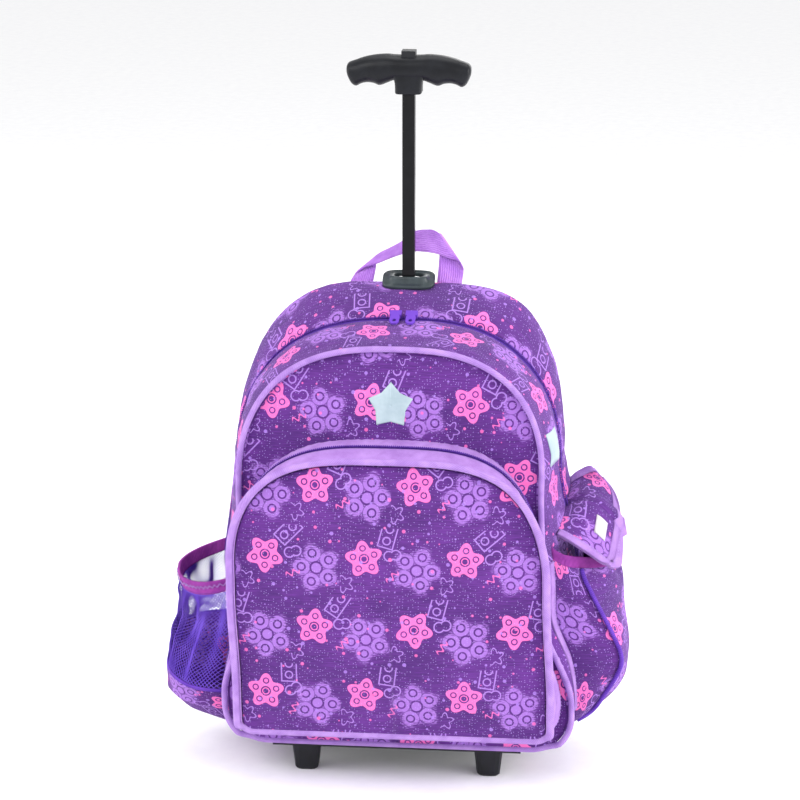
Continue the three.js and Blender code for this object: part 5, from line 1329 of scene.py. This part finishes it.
# shares of half the span and of the rise: the two edges (across, back, up) and where the outer side looks
LOOP = np.array([
    (1.28, 0, 0.04, 0.71, 0, 0.05, 0, 1, 0), (1.3, 0.07, 0.15, 0.73, 0.07, 0.25, 0, 1, 0),
    (1.3, 0.13, 0.22, 0.76, 0.13, 0.58, 0.4, 1, 0.1), (1.29, 0.1, 0.31, 0.8, 0.12, 0.88, 0.85, 0.2, 0.5),
    (1.19, 0.05, 0.43, 0.73, 0.08, 0.95, 0.3, -0.9, 0.3), (0.93, 0.04, 0.49, 0.62, 0.08, 1, 0, -1, 0.2),
    (0.65, 0.04, 0.57, 0.5, 0.12, 1, 0, -1, 0.2), (0.21, 0.04, 0.6, 0.2, 0.15, 0.96, 0, -1, 0.4),
    (-0.1, 0.04, 0.54, -0.12, 0.21, 0.75, 0, -0.9, 0.6),
    (-0.37, 0.04, 0.46, -0.39, 0.23, 0.62, -0.1, -0.8, 0.7),
    (-0.66, 0.04, 0.36, -0.56, 0.23, 0.55, -0.2, -0.8, 0.7),
    (-0.92, 0.06, 0.29, -0.64, 0.23, 0.51, -0.4, -0.7, 0.6),
    (-1.12, 0.1, 0.19, -0.67, 0.27, 0.47, -0.7, 0, 0.7), (-1.2, 0.1, 0.12, -0.69, 0.23, 0.38, -0.2, 1, 0.2),
    (-1.25, 0.06, 0.06, -0.71, 0.1, 0.21, 0, 1, 0), (-1.27, 0, 0.02, -0.75, 0, 0.02, 0, 1, 0),
])


def make_loop():
    """Webbing folded over at both shoulders, as a closed strip with its own thickness."""
    dense = spline(LOOP, 8)
    foot, foot_end = dense[0].copy(), dense[-1].copy()
    for row in (foot, foot_end):
        row[2] = row[5] = -LOOP_WIDTH / LOOP_RISE
    dense = np.concatenate([[foot], dense, [foot_end]])
    depth = BACK_FACE_Y + GAP + WEBBING_THICK / 2

    def edge(part):
        size = np.array([LOOP_SPAN / 2, LOOP_RISE, LOOP_RISE])
        return np.array([LOOP_CENTRE_X, depth, LOOP_FOOT]) + part * size

    low, high = edge(dense[:, :3]), edge(dense[:, 3:6])
    facing = dense[:, 6:9] / np.linalg.norm(dense[:, 6:9], axis=1, keepdims=True)
    shares = np.linspace(0, 1, 11)
    middle = low[:, None] * (1 - shares[None, :, None]) + high[:, None] * shares[None, :, None]
    half = WEBBING_THICK / 2 * np.array([WEBBING_EDGE] + [1] * (len(shares) - 2) + [WEBBING_EDGE])
    outer = middle + facing[:, None] * half[None, :, None]
    inner = (middle - facing[:, None] * half[None, :, None])[:, ::-1]
    rows = np.concatenate([outer, inner], axis=1)
    count, columns = rows.shape[:2]
    faces = capped(grid_faces(count, columns, ring=True), count, columns, columns)
    along = arc_lengths(middle[:, 5])
    across = np.concatenate([shares, shares[::-1]]) * LOOP_WIDTH
    uv = np.stack(np.meshgrid(across, along), axis=2)
    loop = make_mesh("top_loop", rows.reshape(-1, 3), faces, uv.reshape(-1, 2), WEBBING)
    add(loop, "lilac_trim", "carry_loop")


make_loop()
PAD_PATH = np.array([(0, 0), (0.06, 0.1), (0.2, 0.6), (0.42, 1), (0.65, 0.95), (0.85, 0.7), (1, 0.5)])
TAIL_PATH = np.array([(0, 0.46), (0.5, 0.22), (1, 0)])
STRAP_TOP, PAD_LENGTH, STRAP_BOW, STRAP_TOP_X, STRAP_SPREAD = 412, 245, 32, 44, 42
STRAP_WIDTH, STRAP_THICK, TAIL_WIDTH, TAIL_DROP, TAIL_SPREAD, ADJUSTER_HEIGHT = 54, 9, 22, 50, 44, 26


def make_strap(name, side):
    """A padded strap with bound edges and two sewn lines, and a webbing tail below its adjuster."""
    path = spline(PAD_PATH, 9)
    along, bow = path[:, 0], path[:, 1]
    middle = np.stack([
        side * (STRAP_TOP_X + STRAP_SPREAD * along), BACK_FACE_Y + GAP + STRAP_THICK / 2 + bow * STRAP_BOW,
        STRAP_TOP - PAD_LENGTH * along,
    ], axis=1)
    count = len(middle)
    ahead = np.gradient(middle, axis=0)
    ahead /= np.linalg.norm(ahead, axis=1, keepdims=True)
    across = np.broadcast_to(np.array([1.0, 0, 0]), middle.shape)
    facing = np.cross(across, ahead)
    facing *= np.sign(facing[:, 1:2])
    shares = np.linspace(-1, 1, 33)
    width = STRAP_WIDTH * (1 - 0.28 * smooth((along - 0.8) / 0.2))
    thick = STRAP_THICK * (1 - 0.55 * smooth((0.05 - along) / 0.05) - 0.3 * smooth((along - 0.93) / 0.07))
    for k, (part, sign) in enumerate((("front", 1), ("back", -1))):
        crown = np.sqrt(np.maximum(0, 1 - np.abs(shares) ** 6))
        dip = 0.35 * np.exp(-np.abs(np.abs(shares) - 0.62) / 0.05)
        lift = (thick / 2)[:, None] * np.maximum(crown - dip, 0.12)
        out = width[:, None] * shares / 2
        rows = middle[:, None] + across[:, None] * out[..., None] + sign * facing[:, None] * lift[..., None]
        uv = np.stack(np.meshgrid(shares * 27, along * PAD_LENGTH), axis=2)
        where = tuple(middle[count // 2] - sign * facing[count // 2] * 60)
        nodes = ("strap_pad_" + name,) if k == 0 else ()
        material = PRINT if sign > 0 else AIR_MESH
        pad = sheet_piece(
            "pad_%s_%s" % (name, part), rows, uv, material, where, "padded_cloth", *nodes,
            closed=False, wall=1.2,
        )
        if sign > 0:
            for share, label in ((4, "inner"), (28, "outer")):
                sewn = "pad_%s_stitch_%s" % (name, label)
                stitches(sewn, rows[:, share], facing, THREAD_LILAC, "lilac_trim")
    for edge, label in ((-1, "in"), (1, "out")):
        cord = middle + across * (edge * width / 2)[:, None]
        tube("pad_%s_binding_%s" % (name, label), cord, 1.9, PIPING, "lilac_trim", sides=10)
    tail = spline(TAIL_PATH, 12)
    start = np.array([STRAP_TOP_X + STRAP_SPREAD, STRAP_TOP - PAD_LENGTH - ADJUSTER_HEIGHT - 2 * GAP])
    end = start + np.array([TAIL_SPREAD, -TAIL_DROP])
    line = start + (end - start) * tail[:, :1]
    depth = BACK_FACE_Y + GAP + WEBBING_THICK / 2 + tail[:, 1] * STRAP_BOW
    middle = np.stack([side * line[:, 0], depth, line[:, 1]], axis=1)
    ribbon(
        "tail_" + name, middle, (1, 0, 0), (0, 1, 0), TAIL_WIDTH, WEBBING_THICK, VIOLET, "violet_webbing",
        "strap_tail_" + name,
    )


make_strap("left", -1)
make_strap("right", 1)


# Reflective motif, printed on the front panel
MOTIF_CENTRE, MOTIF_TIP, MOTIF_NOTCH = (-5.5, 364.0), 21.5, 14.5
MOTIF_POINTS, MOTIF_STEPS, MOTIF_RINGS = 5, 8, 12
PRINT_WALL, PRINT_LIFT = 0.25, 0.35


def star_outline():
    """A star with its first point up, as places across and up from its middle."""
    out = []
    for k in range(MOTIF_POINTS * 2):
        (ax, ay), (bx, by) = [
            (reach * math.sin(math.pi * j / MOTIF_POINTS), reach * math.cos(math.pi * j / MOTIF_POINTS))
            for j, reach in ((k, (MOTIF_TIP, MOTIF_NOTCH)[k % 2]), (k + 1, (MOTIF_NOTCH, MOTIF_TIP)[k % 2]))
        ]
        for s in np.linspace(0, 1, MOTIF_STEPS, endpoint=False):
            out.append((ax * (1 - s) + bx * s, ay * (1 - s) + by * s))
    return np.array(out)


def make_motif():
    front = tree_of("front_panel")
    rings = []
    for share in np.linspace(1, 0.002, MOTIF_RINGS):
        ring = []
        for x, z in star_outline() * share + np.array(MOTIF_CENTRE):
            hit = front.ray_cast(Vector((x, -300, z)), Vector((0, 1, 0)))[0]
            ring.append((hit.x, hit.y - PRINT_LIFT, hit.z))
        rings.append(ring)
    rows = np.array(rings)
    uv = np.stack([rows[..., 0], rows[..., 2]], axis=2)
    centre = (0, 0, MOTIF_CENTRE[1])
    sheet_piece("front_motif", rows, closed_uv(uv), SILVER, centre, "printed_cloth", wall=PRINT_WALL)


make_motif()


PATCH_FRONT, PATCH_BACK, PATCH_BOTTOM, PATCH_TOP = -50, -20, 303, 334


def make_side_patch():
    """A plain reflective patch on the bag's right side."""
    y, z = np.meshgrid(np.linspace(PATCH_FRONT, PATCH_BACK, 9), np.linspace(PATCH_TOP, PATCH_BOTTOM, 9))
    bow = 1.5 * np.sin((z - PATCH_BOTTOM) / (PATCH_TOP - PATCH_BOTTOM) * math.pi)
    rows = on_side_rows(1, y + bow, z, np.full(y.shape, 0.5))
    uv = np.stack([y, z], axis=2)
    sheet_piece("side_patch", rows, uv, SILVER, (0, 0, 300), "printed_cloth", closed=False, wall=PRINT_WALL)


make_side_patch()

# Floor
floor_data = bpy.data.meshes.new("floor")
floor_data.from_pydata([(-6, -6, 0), (6, -6, 0), (6, 9, 0), (-6, 9, 0)], [], [(0, 1, 2, 3)])
floor_data.materials.append(FLOOR)
floor = bpy.data.objects.new("floor", floor_data)
bpy.context.scene.collection.objects.link(floor)
